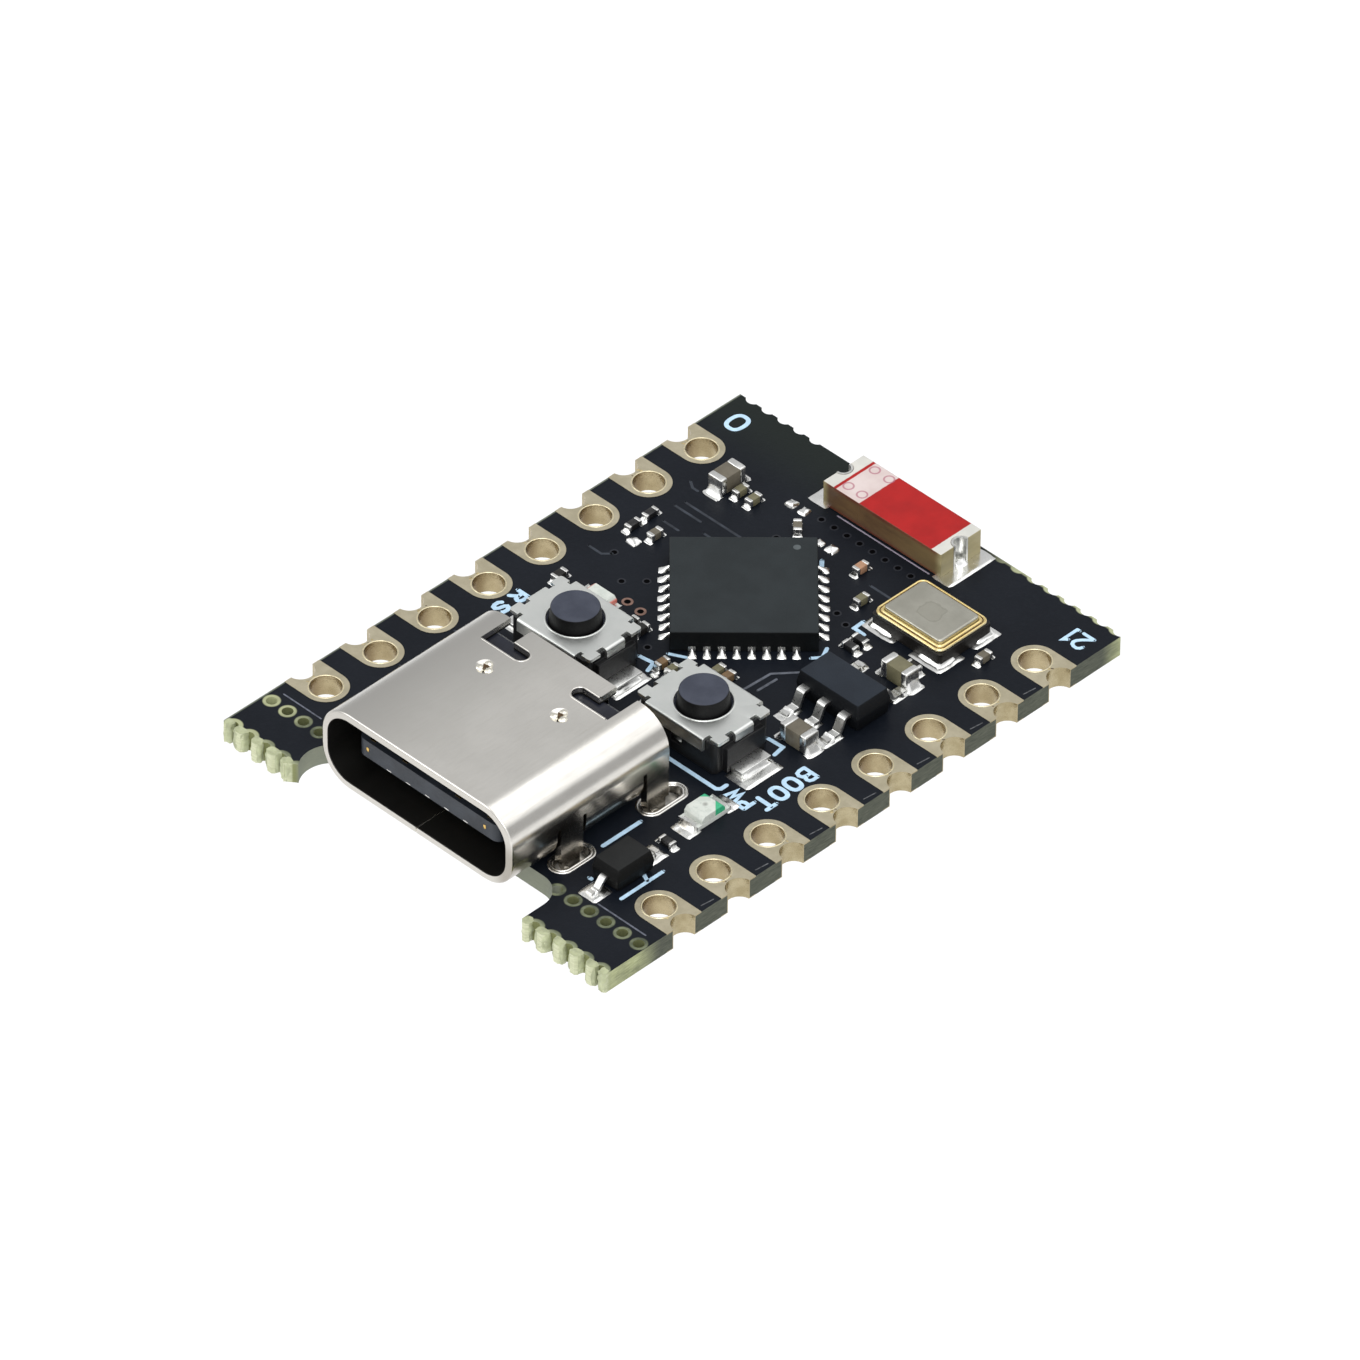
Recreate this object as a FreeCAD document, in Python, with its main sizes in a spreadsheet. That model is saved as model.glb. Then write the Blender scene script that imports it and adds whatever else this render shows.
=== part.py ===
import FreeCAD, Part
import os
import re
import Sketcher

# Microcontroller development board, millimetres.
# Frame: X across the board, +Y from the port end to the antenna end, +Z up.
# Origin: centre of the sixteen edge pads, on the board's underside.

doc = FreeCAD.newDocument("development_board")
sheet = doc.addObject("Spreadsheet::Sheet", "dims")
sheet.Label = "dims"

ALIASES = {}


def dim(name, value, note=""):
    row = len(ALIASES) + 1
    sheet.set("A%d" % row, name)
    sheet.set("B%d" % row, repr(value))
    sheet.set("C%d" % row, note)
    sheet.setAlias("B%d" % row, name)
    ALIASES[name] = value


def bound(text):
    """Write an expression on the sheet's cells from their bare names."""
    return re.sub(
        r"[a-z][a-z0-9_]+",
        lambda w: "dims." + w.group(0) if w.group(0) in ALIASES else w.group(0),
        str(text),
    )


# ---------------------------------------------------------------- dimensions
for name, value, note in [
    ("board_wide", 18.0, "across the pad rows"),
    ("board_front", -12.62, "broken rail stubs at the port end, y"),
    ("board_back", 11.92, "antenna end, y"),
    ("board_thick", 0.8, ""),
    ("board_corner", 0.15, ""),
    ("cut_left", -5.53, "routed gap under the port, x"),
    ("cut_right", 5.1, ""),
    ("cut_inner", -10.5, "inner end of the gap, y"),
    ("cut_radius", 1.0, "router corner"),
    ("bite_pitch", 0.76, "snap-off perforation"),
    ("bite_radius", 0.2, "holes and stub ends"),
    ("bite_back_radius", 0.29, "antenna end"),
    ("tip_break", 0.28, "broken corners beside each bite"),
    ("tip_corner", 0.12, "broken outer corners of the stubs"),
    ("bite_line", -10.67, "perforation line, y"),
    ("bite_end", -12.47, "broken line at the stub ends, y"),
    ("bite_back", 12.07, "broken line at the antenna end, y"),
    ("bite_left", -8.6, "first hole of the left row, x"),
    ("bite_right", 4.88, "first hole of the right row, x"),
    ("pad_pitch", 2.54, ""),
    ("pad_row", 7.845, "hole line from the middle, x"),
    ("pad_radius", 0.805, ""),
    ("pad_hole", 0.56, "radius"),
    ("notch_line", 9.06, "centre of the edge notch, x"),
    ("notch_radius", 0.5, ""),
    ("plating", 0.03, "thickness of the copper skin"),
    ("plating_proud", 0.015, "above the mask on the top face"),
    ("seat", 0.82, "height that the parts stand at"),
    ("port_x", -0.36, ""),
    ("port_wide", 8.94, ""),
    ("port_tall", 3.2, ""),
    ("port_front", -12.0, ""),
    ("port_back", -4.68, ""),
    ("port_wall", 0.28, ""),
    ("port_round", 1.3, "outer corner radius of the shell"),
    ("tongue_wide", 6.69, ""),
    ("tongue_thick", 0.7, ""),
    ("tongue_front", -11.45, ""),
    ("leg_x", 4.32, "legs from the port's middle"),
    ("leg_front_y", -9.2, ""),
    ("leg_back_y", -5.21, ""),
    ("leg_wide", 1.02, ""),
    ("slot_x", 4.46, "plated slots from the port's middle"),
    ("slot_front_y", -9.22, ""),
    ("slot_back_y", -5.0, ""),
    ("slot_front_long", 1.46, ""),
    ("slot_back_long", 1.66, ""),
    ("slot_wide", 0.62, ""),
    ("slot_ring", 0.21, ""),
    ("chip_x", -1.08, ""),
    ("chip_y", 4.08, ""),
    ("chip_side", 5.0, ""),
    ("chip_tall", 0.85, ""),
    ("land_pitch", 0.5, ""),
    ("land_wide", 0.25, ""),
    ("land_long", 0.4, ""),
    ("land_tall", 0.2, ""),
    ("aerial_x", -0.13, ""),
    ("aerial_y", 10.7, ""),
    ("aerial_long", 5.54, ""),
    ("aerial_wide", 1.95, ""),
    ("aerial_tall", 1.0, ""),
    ("aerial_notch", 0.34, "radius of the half holes in its ends"),
    ("xtal_x", 4.28, ""),
    ("xtal_y", 7.59, ""),
    ("xtal_long", 3.2, ""),
    ("xtal_wide", 2.5, ""),
    ("xtal_base", 0.52, ""),
    ("xtal_rim", 0.1, ""),
    ("xtal_lid_long", 2.66, ""),
    ("xtal_lid_wide", 1.94, ""),
    ("xtal_lid_tall", 0.2, ""),
    ("reg_x", 4.9, ""),
    ("reg_y", 2.74, ""),
    ("reg_long", 2.9, ""),
    ("reg_wide", 1.6, ""),
    ("reg_tall", 1.1, ""),
    ("reg_pitch", 0.95, ""),
    ("reg_lead", 0.4, ""),
    ("diode_x", 5.85, ""),
    ("diode_y", -8.57, ""),
    ("diode_long", 1.7, ""),
    ("diode_wide", 1.25, ""),
    ("diode_tall", 0.9, ""),
    ("reset_x", -3.3, ""),
    ("boot_x", 2.73, ""),
    ("key_y", -1.68, "both buttons"),
    ("key_long", 3.84, "cover"),
    ("key_wide", 2.86, "cover"),
    ("key_base_long", 3.56, ""),
    ("key_base_wide", 2.56, ""),
    ("key_base_top", 2.13, ""),
    ("key_flat", 2.46, "cover between its two folded skirts, y"),
    ("key_skin", 0.13, "cover sheet"),
    ("key_skirt", 2.7, "length of a skirt, x"),
    ("key_drop", 0.4, "skirt below the cover's underside"),
    ("key_hole", 0.99, "hole in the cover, radius"),
    ("key_cap_foot", 0.93, "plunger radius at the cover"),
    ("key_cap_tip", 0.84, "plunger radius at its top"),
    ("key_top", 2.8, "top of the plunger"),
    ("key_flange", 1.14, ""),
    ("key_flange_tall", 0.2, ""),
    ("key_cavity", 1.3, "radius"),
    ("key_floor", 1.2, ""),
    ("key_nub", 0.36, ""),
    ("dome_tall", 0.41, ""),
    ("dome_ball", 1.818, "outer radius of the dome's sphere"),
    ("dome_skin", 0.07, ""),
    ("key_travel", 0.25, ""),
    ("lamp_x", 5.68, "power light"),
    ("lamp_y", -4.6, ""),
    ("lamp_long", 1.6, ""),
    ("lamp_wide", 0.86, ""),
    ("lamp_base", 0.18, ""),
    ("lamp_tall", 0.46, ""),
    ("lamp_lens", 1.08, "length of its lens"),
    ("signal_x", -4.5, "second light"),
    ("signal_y", 0.5, ""),
]:
    dim(name, value, note)

# Small two-ended parts: centre x, centre y, along ("x", "y" or "d" = diagonal),
# length, width, height.
BIG_CAPS = [
    (-5.87, 8.11, "y", 1.2, 0.68, 0.7),
    (5.35, 4.98, "x", 1.22, 0.64, 0.7),
    (5.27, 0.27, "x", 1.2, 0.68, 0.72),
]
SMALL_CAPS = [
    (-5.21, 8.1, "y", 0.62, 0.32, 0.3),
    (-4.57, 8.08, "y", 0.6, 0.32, 0.3),
    (-2.5, 8.1, "d", 0.6, 0.32, 0.3),
    (0.5, 8.08, "y", 0.6, 0.32, 0.3),
    (1.68, 6.9, "y", 0.6, 0.32, 0.3),
    (6.63, 7.67, "y", 0.6, 0.32, 0.3),
    (-0.68, -0.2, "y", 0.56, 0.3, 0.3),
    (-0.2, -0.2, "y", 0.56, 0.3, 0.3),
    (0.9, 0.85, "y", 0.6, 0.32, 0.3),
    (1.36, 0.85, "y", 0.6, 0.32, 0.3),
    (-2.9, 0.55, "y", 0.6, 0.32, 0.3),
    (-2.42, 0.55, "y", 0.6, 0.32, 0.3),
    (-6.35, 0.6, "y", 0.6, 0.32, 0.3),
    (5.35, 5.62, "x", 0.6, 0.32, 0.3),
    (-5.62, 4.42, "y", 0.56, 0.32, 0.3),
]
RESISTORS = [
    (3.1, 5.4, "x", 0.6, 0.3, 0.24),
    (3.1, 4.92, "x", 0.6, 0.3, 0.24),
    (5.84, -6.5, "x", 0.6, 0.3, 0.24),
    (-6.53, 5.1, "y", 0.6, 0.3, 0.24),
    (-6.53, 4.27, "y", 0.6, 0.3, 0.24),
]
for tag, parts in (("bigcap", BIG_CAPS), ("smallcap", SMALL_CAPS), ("res", RESISTORS)):
    for i, part in enumerate(parts):
        for key, value in zip(("x", "y", "long", "wide", "tall"), part[:2] + part[3:]):
            dim("%s_%d_%s" % (tag, i + 1, key), value)


# ---------------------------------------------------------------- helpers
def place(obj, x, y, z, turn=None):
    if turn:
        obj.Placement = FreeCAD.Placement(
            FreeCAD.Vector(0, 0, 0), FreeCAD.Rotation(*turn)
        )
    for axis, text in (("x", x), ("y", y), ("z", z)):
        obj.setExpression("Placement.Base." + axis, bound(text))
    return obj


def box(name, x, y, z, lx, ly, lz):
    """A block from its lowest corner and its three lengths."""
    obj = doc.addObject("Part::Box", name)
    obj.setExpression("Length", bound(lx))
    obj.setExpression("Width", bound(ly))
    obj.setExpression("Height", bound(lz))
    return place(obj, x, y, z)


def cbox(name, x, y, z, lx, ly, lz):
    """A block centred on x and y, standing at z."""
    return box(
        name, "(%s) - (%s)/2" % (x, lx), "(%s) - (%s)/2" % (y, ly), z, lx, ly, lz
    )


def cyl(name, x, y, z, r, tall, turn=None):
    obj = doc.addObject("Part::Cylinder", name)
    obj.setExpression("Radius", bound(r))
    obj.setExpression("Height", bound(tall))
    return place(obj, x, y, z, turn)


def fuse(name, *shapes):
    obj = doc.addObject("Part::MultiFuse", name)
    obj.Shapes = list(shapes)
    return obj


def cut(name, base, tool):
    obj = doc.addObject("Part::Cut", name)
    obj.Base = base
    obj.Tool = tool
    return obj


def common(name, *shapes):
    obj = doc.addObject("Part::MultiCommon", name)
    obj.Shapes = list(shapes)
    return obj


def group(name, *shapes):
    """Separate solids that share one node."""
    obj = doc.addObject("Part::Compound", name)
    obj.Links = list(shapes)
    return obj


def rounded(name, base, chosen, radius, kind="Part::Fillet"):
    doc.recompute()
    obj = doc.addObject(kind, name)
    obj.Base = base
    obj.Edges = [
        (i + 1, radius, radius) for i, e in enumerate(base.Shape.Edges) if chosen(e)
    ]
    return obj


def along(axis):
    """Straight edges that run along one axis."""

    def test(edge):
        if not isinstance(edge.Curve, Part.Line):
            return False
        d = edge.Curve.Direction
        return abs((d.x, d.y, d.z)["xyz".index(axis)]) > 0.999

    return test


def obround(name, x, y, z, wide, long_, tall):
    """A slot shape whose long side runs along Y."""
    flat = "((%s) - (%s))" % (long_, wide)
    return fuse(
        name,
        cbox(name + "_mid", x, y, z, wide, flat, tall),
        cyl(name + "_a", x, "(%s) - %s/2" % (y, flat), z, "(%s)/2" % wide, tall),
        cyl(name + "_b", x, "(%s) + %s/2" % (y, flat), z, "(%s)/2" % wide, tall),
    )


def body(name):
    obj = doc.addObject("PartDesign::Body", name)
    obj.Label = name
    if hasattr(obj, "AllowCompound"):
        obj.AllowCompound = True
    return obj


def origin_item(bod, role):
    for item in bod.Origin.OriginFeatures:
        if item.Role == role:
            return item


def sketch(bod, name, z="0", plane="XY_Plane"):
    obj = bod.newObject("Sketcher::SketchObject", name)
    obj.AttachmentSupport = [(origin_item(bod, plane), "")]
    obj.MapMode = "FlatFace"
    obj.setExpression("AttachmentOffset.Base.z", bound(z))
    return obj


def set_rule(sk, rule, text):
    index = sk.addConstraint(rule)
    sk.setExpression("Constraints[%d]" % index, bound(text))


def sk_rect(sk, x, y, lx, ly):
    """A rectangle from its lowest corner, in the sketch's own axes."""
    V = FreeCAD.Vector
    n = sk.GeometryCount
    corners = [V(0, 0, 0), V(1, 0, 0), V(1, 1, 0), V(0, 1, 0)]
    sk.addGeometry(
        [Part.LineSegment(corners[i], corners[(i + 1) % 4]) for i in range(4)], False
    )
    for i in range(4):
        sk.addConstraint(
            Sketcher.Constraint("Coincident", n + i, 2, n + (i + 1) % 4, 1)
        )
        sk.addConstraint(
            Sketcher.Constraint("Vertical" if i % 2 else "Horizontal", n + i)
        )
    set_rule(sk, Sketcher.Constraint("DistanceX", n, 1, n, 2, 1.0), lx)
    set_rule(sk, Sketcher.Constraint("DistanceY", n + 1, 1, n + 1, 2, 1.0), ly)
    set_rule(sk, Sketcher.Constraint("DistanceX", -1, 1, n, 1, 0.1), x)
    set_rule(sk, Sketcher.Constraint("DistanceY", -1, 1, n, 1, 0.1), y)


def sk_circle(sk, x, y, r):
    n = sk.GeometryCount
    sk.addGeometry(
        Part.Circle(FreeCAD.Vector(0.1, 0.1, 0), FreeCAD.Vector(0, 0, 1), 1.0), False
    )
    set_rule(sk, Sketcher.Constraint("Radius", n, 1.0), r)
    set_rule(sk, Sketcher.Constraint("DistanceX", -1, 1, n, 3, 0.1), x)
    set_rule(sk, Sketcher.Constraint("DistanceY", -1, 1, n, 3, 0.1), y)


def pad(bod, name, sk, tall, back=False):
    obj = bod.newObject("PartDesign::Pad", name)
    obj.Profile = sk
    obj.setExpression("Length", bound(tall))
    obj.Reversed = back
    return obj


def pocket(bod, name, sk):
    """A pocket right through, both ways from the sketch."""
    obj = bod.newObject("PartDesign::Pocket", name)
    obj.Profile = sk
    obj.Type = "ThroughAll"
    obj.Midplane = True
    return obj


def line_up(bod, name, feature, axis, pitch, count):
    """A row of the same feature along one of the body's own axes."""
    obj = bod.newObject("PartDesign::LinearPattern", name)
    obj.Originals = [feature]
    obj.Direction = (origin_item(bod, axis), [""])
    obj.Occurrences = count
    obj.setExpression("Length", bound("(%s) * %d" % (pitch, count - 1)))
    bod.Tip = obj
    return obj


def edge_round(bod, name, base, chosen, radius, kind="PartDesign::Fillet"):
    doc.recompute()
    names = ["Edge%d" % (i + 1) for i, e in enumerate(base.Shape.Edges) if chosen(e)]
    obj = bod.newObject(kind, name)
    obj.Base = (base, names)
    if kind == "PartDesign::Fillet":
        obj.setExpression("Radius", bound(radius))
    else:
        obj.setExpression("Size", bound(radius))
    return obj


NODES = []


def node(obj, name):
    obj.Label = name
    NODES.append(obj)
    return obj


# ---------------------------------------------------------------- the board
# A milled sheet: outline, routed gap under the port, sixteen edge holes and
# notches, and the snap-off perforations where it was parted from its panel.
board = body("board_blank")
s = sketch(board, "board_outline")
sk_rect(s, "-board_wide/2", "board_front", "board_wide", "board_back - board_front")
sheet_pad = pad(board, "board_sheet", s, "board_thick")
s = sketch(board, "gap_outline")
sk_rect(s, "cut_left", "board_front - 1", "cut_right - cut_left", "cut_inner - board_front + 1")
gap = pocket(board, "routed_gap", s)


def gap_corner(e):
    if not along("z")(e):
        return False
    p = e.Vertexes[0].Point
    return abs(p.y - ALIASES["cut_inner"]) < 0.01 and abs(p.x) < 8.0


edge_round(board, "router_corners", gap, gap_corner, "cut_radius")
s = sketch(board, "edge_hole_pair")
for side in ("", "-"):
    sk_circle(s, "%s(pad_row)" % side, "-3.5 * pad_pitch", "pad_hole + plating")
    sk_circle(s, "%s(notch_line)" % side, "-3.5 * pad_pitch", "notch_radius + plating")
first = pocket(board, "edge_holes_first", s)
line_up(board, "edge_holes", first, "Y_Axis", "pad_pitch", 8)
for tag, x, y, count in (
    ("left", "bite_left", "bite_line", 4),
    ("right", "bite_right", "bite_line", 6),
    ("left_end", "bite_left", "bite_end", 4),
    ("right_end", "bite_right + bite_pitch", "bite_end", 5),
    ("left_back", "bite_left + 0.12", "bite_back", 5),
    ("right_back", "bite_right + 0.15", "bite_back", 6),
):
    s = sketch(board, "bite_" + tag + "_profile")
    sk_circle(s, x, y, "bite_back_radius" if tag.endswith("back") else "bite_radius")
    first = pocket(board, "bite_" + tag + "_first", s)
    line_up(board, "bites_" + tag, first, "X_Axis", "bite_pitch", count)

# Plated pads: a flat land on each face, a barrel through the hole and a
# half barrel in the edge notch, each pad one skin of copper and gold.
lands, bores, wide_bores = [], [], []
for side, sign in (("right", ""), ("left", "-")):
    for i in range(8):
        y = "(%s) * pad_pitch" % (i - 3.5)
        x = "%s(pad_row)" % sign
        tag = "%s_%d" % (side, i + 1)
        lands.append(cyl("land_end_" + tag, x, y, "0", "pad_radius", "board_thick + plating_proud"))
        lands.append(
            box(
                "land_arm_" + tag,
                x if sign == "" else "-board_wide/2",
                "(%s) - pad_radius" % y,
                "0",
                "board_wide/2 - pad_row",
                "2 * pad_radius",
                "board_thick + plating_proud",
            )
        )
        bores.append(cyl("bore_" + tag, x, y, "-1", "pad_hole", "3"))
        bores.append(cyl("notch_" + tag, "%s(notch_line)" % sign, y, "-1", "notch_radius", "3"))
        wide_bores.append(cyl("drill_" + tag, x, y, "-1", "pad_hole + plating", "3"))
        wide_bores.append(
            cyl("drill_notch_" + tag, "%s(notch_line)" % sign, y, "-1", "notch_radius + plating", "3")
        )
land_block = fuse("land_block", *lands)
core = fuse(
    "core_slabs",
    box("core_right", "pad_row - 2", "-12", "plating", "3.6", "24", "board_thick - 2*plating"),
    box("core_left", "-pad_row - 1.6", "-12", "plating", "3.6", "24", "board_thick - 2*plating"),
)
drilled_core = cut("drilled_core", core, fuse("drills", *wide_bores))
pads = cut("pads_hollow", land_block, drilled_core)
pads = node(cut("edge_pads_cut", pads, fuse("bores", *bores)), "edge_pads")

# Plated slots that the port's legs drop into.
slot_skins, slot_faces, slot_holes = [], [], []
LEGS = [
    ("right_front", "port_x + slot_x", "slot_front_y", "slot_front_long"),
    ("right_back", "port_x + slot_x", "slot_back_y", "slot_back_long"),
    ("left_front", "port_x - slot_x", "slot_front_y", "slot_front_long"),
    ("left_back", "port_x - slot_x", "slot_back_y", "slot_back_long"),
]
for tag, x, y, long_ in LEGS:
    whole = obround("slot_land_" + tag, x, y, "0", "slot_wide + 2*slot_ring", long_ + " + 2*slot_ring", "board_thick + plating_proud")
    slab = obround("slot_slab_" + tag, x, y, "plating", "slot_wide + 4*slot_ring", long_ + " + 4*slot_ring", "board_thick - 2*plating")
    drill = obround("slot_drill_" + tag, x, y, "-1", "slot_wide + 2*plating", long_ + " + 2*plating", "3")
    hole = obround("slot_hole_" + tag, x, y, "-1", "slot_wide", long_, "3")
    skin = cut("slot_skin_a_" + tag, whole, cut("slot_core_" + tag, slab, drill))
    slot_skins.append(cut("slot_skin_" + tag, skin, hole))
    slot_faces.append(cut("slot_face_" + tag, whole, slab))
    slot_holes.append(drill)
slot_plating = node(group("slot_plating_set", *slot_skins), "leg_slot_plating")

# Two peg holes for the port, and the shallow recesses that the lands fill.
peg_holes = [
    cyl("peg_hole_a", "port_x - 2.89", "-6.95", "-1", "0.35", "3"),
    cyl("peg_hole_b", "port_x + 2.89", "-6.95", "-1", "0.35", "3"),
]
# the cutter ran wide along the left stub and took its inner corner off
hollow = cyl("gap_hollow", "-4.75", "-11.6", "-1", "1.13", "3")
chip_off = doc.addObject("Part::Box", "stub_corner_off")
chip_off.Length, chip_off.Width, chip_off.Height = 1.2, 0.6, 3
chip_off.Placement = FreeCAD.Placement(
    FreeCAD.Vector(-6.02 + 0.353, -12.60 - 0.485, -1), FreeCAD.Rotation(FreeCAD.Vector(0, 0, 1), 36)
)
# the laminate breaks off in blunt lobes between the bites


def diamond(name, x, half):
    obj = doc.addObject("Part::Box", name)
    obj.setExpression("Length", bound("%s * sqrt(2)" % half))
    obj.setExpression("Width", bound("%s * sqrt(2)" % half))
    obj.Height = 3
    obj.Placement = FreeCAD.Placement(FreeCAD.Vector(0, 0, -1), FreeCAD.Rotation(FreeCAD.Vector(0, 0, 1), 45))
    obj.setExpression("Placement.Base.x", bound(x))
    obj.setExpression("Placement.Base.y", bound("board_front - %s" % half))
    return obj


breaks = [diamond("break_left_%d" % i, "bite_left + bite_pitch * %d" % i, "tip_break") for i in range(4)]
breaks += [diamond("break_right_%d" % i, "bite_right + bite_pitch * %d" % (i + 1), "tip_break") for i in range(5)]
for i, x in enumerate(("-board_wide/2", "board_wide/2", "cut_right")):
    breaks.append(diamond("break_corner_%d" % i, x, "tip_corner"))
face_recess = cut("land_faces", land_block, core)
board_cut = cut(
    "circuit_board_cut",
    board,
    fuse("board_tools", face_recess, hollow, chip_off, *(breaks + slot_faces + slot_holes + peg_holes)),
)
node(board_cut, "circuit_board")

# ---------------------------------------------------------------- the port
outer = box("shell_outer_block", "port_x - port_wide/2", "port_front", "board_thick", "port_wide", "port_back - port_front", "port_tall")
outer = rounded("shell_outer", outer, along("y"), ALIASES["port_round"])
inner = box(
    "shell_inner_block", "port_x - port_wide/2 + port_wall", "port_front - 1", "board_thick + port_wall",
    "port_wide - 2*port_wall", "port_back - port_front + 2", "port_tall - 2*port_wall",
)
inner = rounded("shell_inner", inner, along("y"), ALIASES["port_round"] - ALIASES["port_wall"])
tools = [inner]
# seam of the rolled sheet, in the floor of the shell
tools.append(box("shell_seam", "port_x - 0.03", "port_front - 1", "board_thick - 1", "0.06", "port_back - port_front + 2", "1.5"))
# slits that free each leg from the rounded lower corner
for tag, sign, y in (
    ("right_front", 1, "leg_front_y"), ("right_back", 1, "leg_back_y"),
    ("left_front", -1, "leg_front_y"), ("left_back", -1, "leg_back_y"),
):
    x = "port_x + port_wide/2 - 1.45" if sign > 0 else "port_x - port_wide/2 - 1"
    tools.append(box("leg_window_" + tag, x, "(%s) - leg_wide/2 - 0.16" % y, "board_thick - 1", "2.45", "leg_wide + 0.32", "2.55"))
# the L-shaped slots beside the folded rear flap
for tag, sign in (("left", -1), ("right", 1)):
    x0 = "port_x - 2.98" if sign < 0 else "port_x + 1.39"
    tools.append(box("flap_slot_" + tag, x0, "-6.08", "3.0", "1.59", "0.62", "2"))
    tools.append(cyl("flap_slot_end_" + tag, "port_x %s 1.39" % ("-" if sign < 0 else "+"), "-5.77", "3.0", "0.31", "2"))
    x1 = "port_x - 2.98" if sign < 0 else "port_x + 2.0"
    tools.append(box("flap_side_" + tag, x1, "-5.6", "3.0", "0.98", "1.5", "2"))
# the floor is open at the back for the contact feet, with two peg holes
tools.append(cbox("floor_opening", "port_x", "(-6.5 - 4.0)/2", "board_thick - 0.5", "7.1", "2.5", "0.95"))
for tag, dx in (("a", "-2.89"), ("b", "2.89")):
    tools.append(cyl("floor_peg_" + tag, "port_x + (%s)" % dx, "-6.95", "board_thick - 0.5", "0.38", "0.95"))
# spot-weld dimples
for tag, dx in (("a", "-1.78"), ("b", "1.72")):
    obj = doc.addObject("Part::Sphere", "weld_dimple_" + tag)
    obj.Radius = 0.9
    tools.append(place(obj, "port_x + (%s)" % dx, "-7.02", "board_thick + port_tall + 0.82"))
shell = cut("shell_tube", outer, fuse("shell_tools", *tools))
# rear flap: a strip folded down from the roof
flap_outer = box("flap_outer_block", "port_x - 2.0", "-5.5", "board_thick + 0.62", "4.0", "port_back + 5.5", "port_tall - 0.62")


def flap_edge(e):
    if not along("x")(e):
        return False
    p = e.Vertexes[0].Point
    return p.y > ALIASES["port_back"] - 0.01 and p.z > 3.9


flap_outer = rounded("flap_outer", flap_outer, flap_edge, 0.55)
flap_inner = box("flap_inner_block", "port_x - 3", "-6.5", "board_thick - 1", "6", "port_back + 6.5 - port_wall", "port_tall + 1 - port_wall")
flap_inner = rounded(
    "flap_inner", flap_inner,
    lambda e: along("x")(e) and e.Vertexes[0].Point.y > -5.2 and e.Vertexes[0].Point.z > 3.5, 0.3,
)
flap = cut("flap_sheet", flap_outer, flap_inner)
corner_tools = []
for sign in (-1, 1):
    tag = "l" if sign < 0 else "r"
    c = cyl("flap_corner_round_" + tag, "port_x + (%s)" % (1.34 * sign), "port_back - 0.7", "2.6", "0.7", "3")
    b = box("flap_corner_block_" + tag, "port_x + (%s)" % (-2.3 if sign < 0 else 1.34), "port_back - 0.7", "2.6", "0.96", "0.9", "3")
    corner_tools.append(cut("flap_corner_" + tag, b, c))
flap = cut("flap_trimmed", flap, fuse("flap_corners", *corner_tools))
# legs: straight down from the side walls, narrowed at their tips
leg_shapes = []
for tag, sign, y in (
    ("right_front", 1, "leg_front_y"), ("right_back", 1, "leg_back_y"),
    ("left_front", -1, "leg_front_y"), ("left_back", -1, "leg_back_y"),
):
    x = "port_x + port_wide/2 - port_wall" if sign > 0 else "port_x - port_wide/2"
    leg_shapes.append(box("leg_" + tag, x, "(%s) - leg_wide/2" % y, "0.83", "port_wall", "leg_wide", "1.62"))
    leg_shapes.append(box("leg_tip_" + tag, x, "(%s) - 0.36" % y, "0.02", "port_wall", "0.72", "0.9"))
shell = fuse("shell_whole", shell, flap, *leg_shapes)
rim_edges = rounded(
    "shell_rim", shell,
    lambda e: abs(e.BoundBox.YMin - ALIASES["port_front"]) < 1e-4
    and abs(e.BoundBox.YMax - ALIASES["port_front"]) < 1e-4
    and (e.BoundBox.ZMax > 3.99 or e.BoundBox.XMin < ALIASES["port_x"] - 4.46 or e.BoundBox.XMax > ALIASES["port_x"] + 4.46),
    0.09,
)
port_shell = node(rim_edges, "port_shell")

# moulded insulator: rear block, stepped root and tongue, two pegs below
rear = box("insulator_rear_block", "port_x - port_wide/2 + port_wall + 0.02", "-7.3", "board_thick + port_wall + 0.02",
           "port_wide - 2*port_wall - 0.04", "2.34", "port_tall - 2*port_wall - 0.04")
rear = rounded("insulator_rear", rear, along("y"), ALIASES["port_round"] - ALIASES["port_wall"] - 0.02)
rear = rounded(
    "insulator_rear_soft", rear,
    lambda e: along("x")(e) and e.Vertexes[0].Point.y > -5.2 and e.Vertexes[0].Point.z > 3.5, 0.34, "Part::Chamfer",
)
root = cbox("insulator_root", "port_x", "-7.6", "board_thick + port_tall/2 - 0.72", "7.3", "1.4", "1.44")
tongue = box("tongue_block", "port_x - tongue_wide/2", "tongue_front", "board_thick + port_tall/2 - tongue_thick/2",
             "tongue_wide", "-8.0 - tongue_front + 0.5", "tongue_thick")
tongue = rounded("tongue_shape", tongue, lambda e: along("z")(e) and e.Vertexes[0].Point.y < -11, 0.35)
pegs = [
    cyl("peg_a", "port_x - 2.89", "-6.95", "0.15", "0.3", "1.2"),
    cyl("peg_b", "port_x + 2.89", "-6.95", "0.15", "0.3", "1.2"),
]
insulator = fuse("insulator_whole", rear, root, tongue, *pegs)

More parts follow.
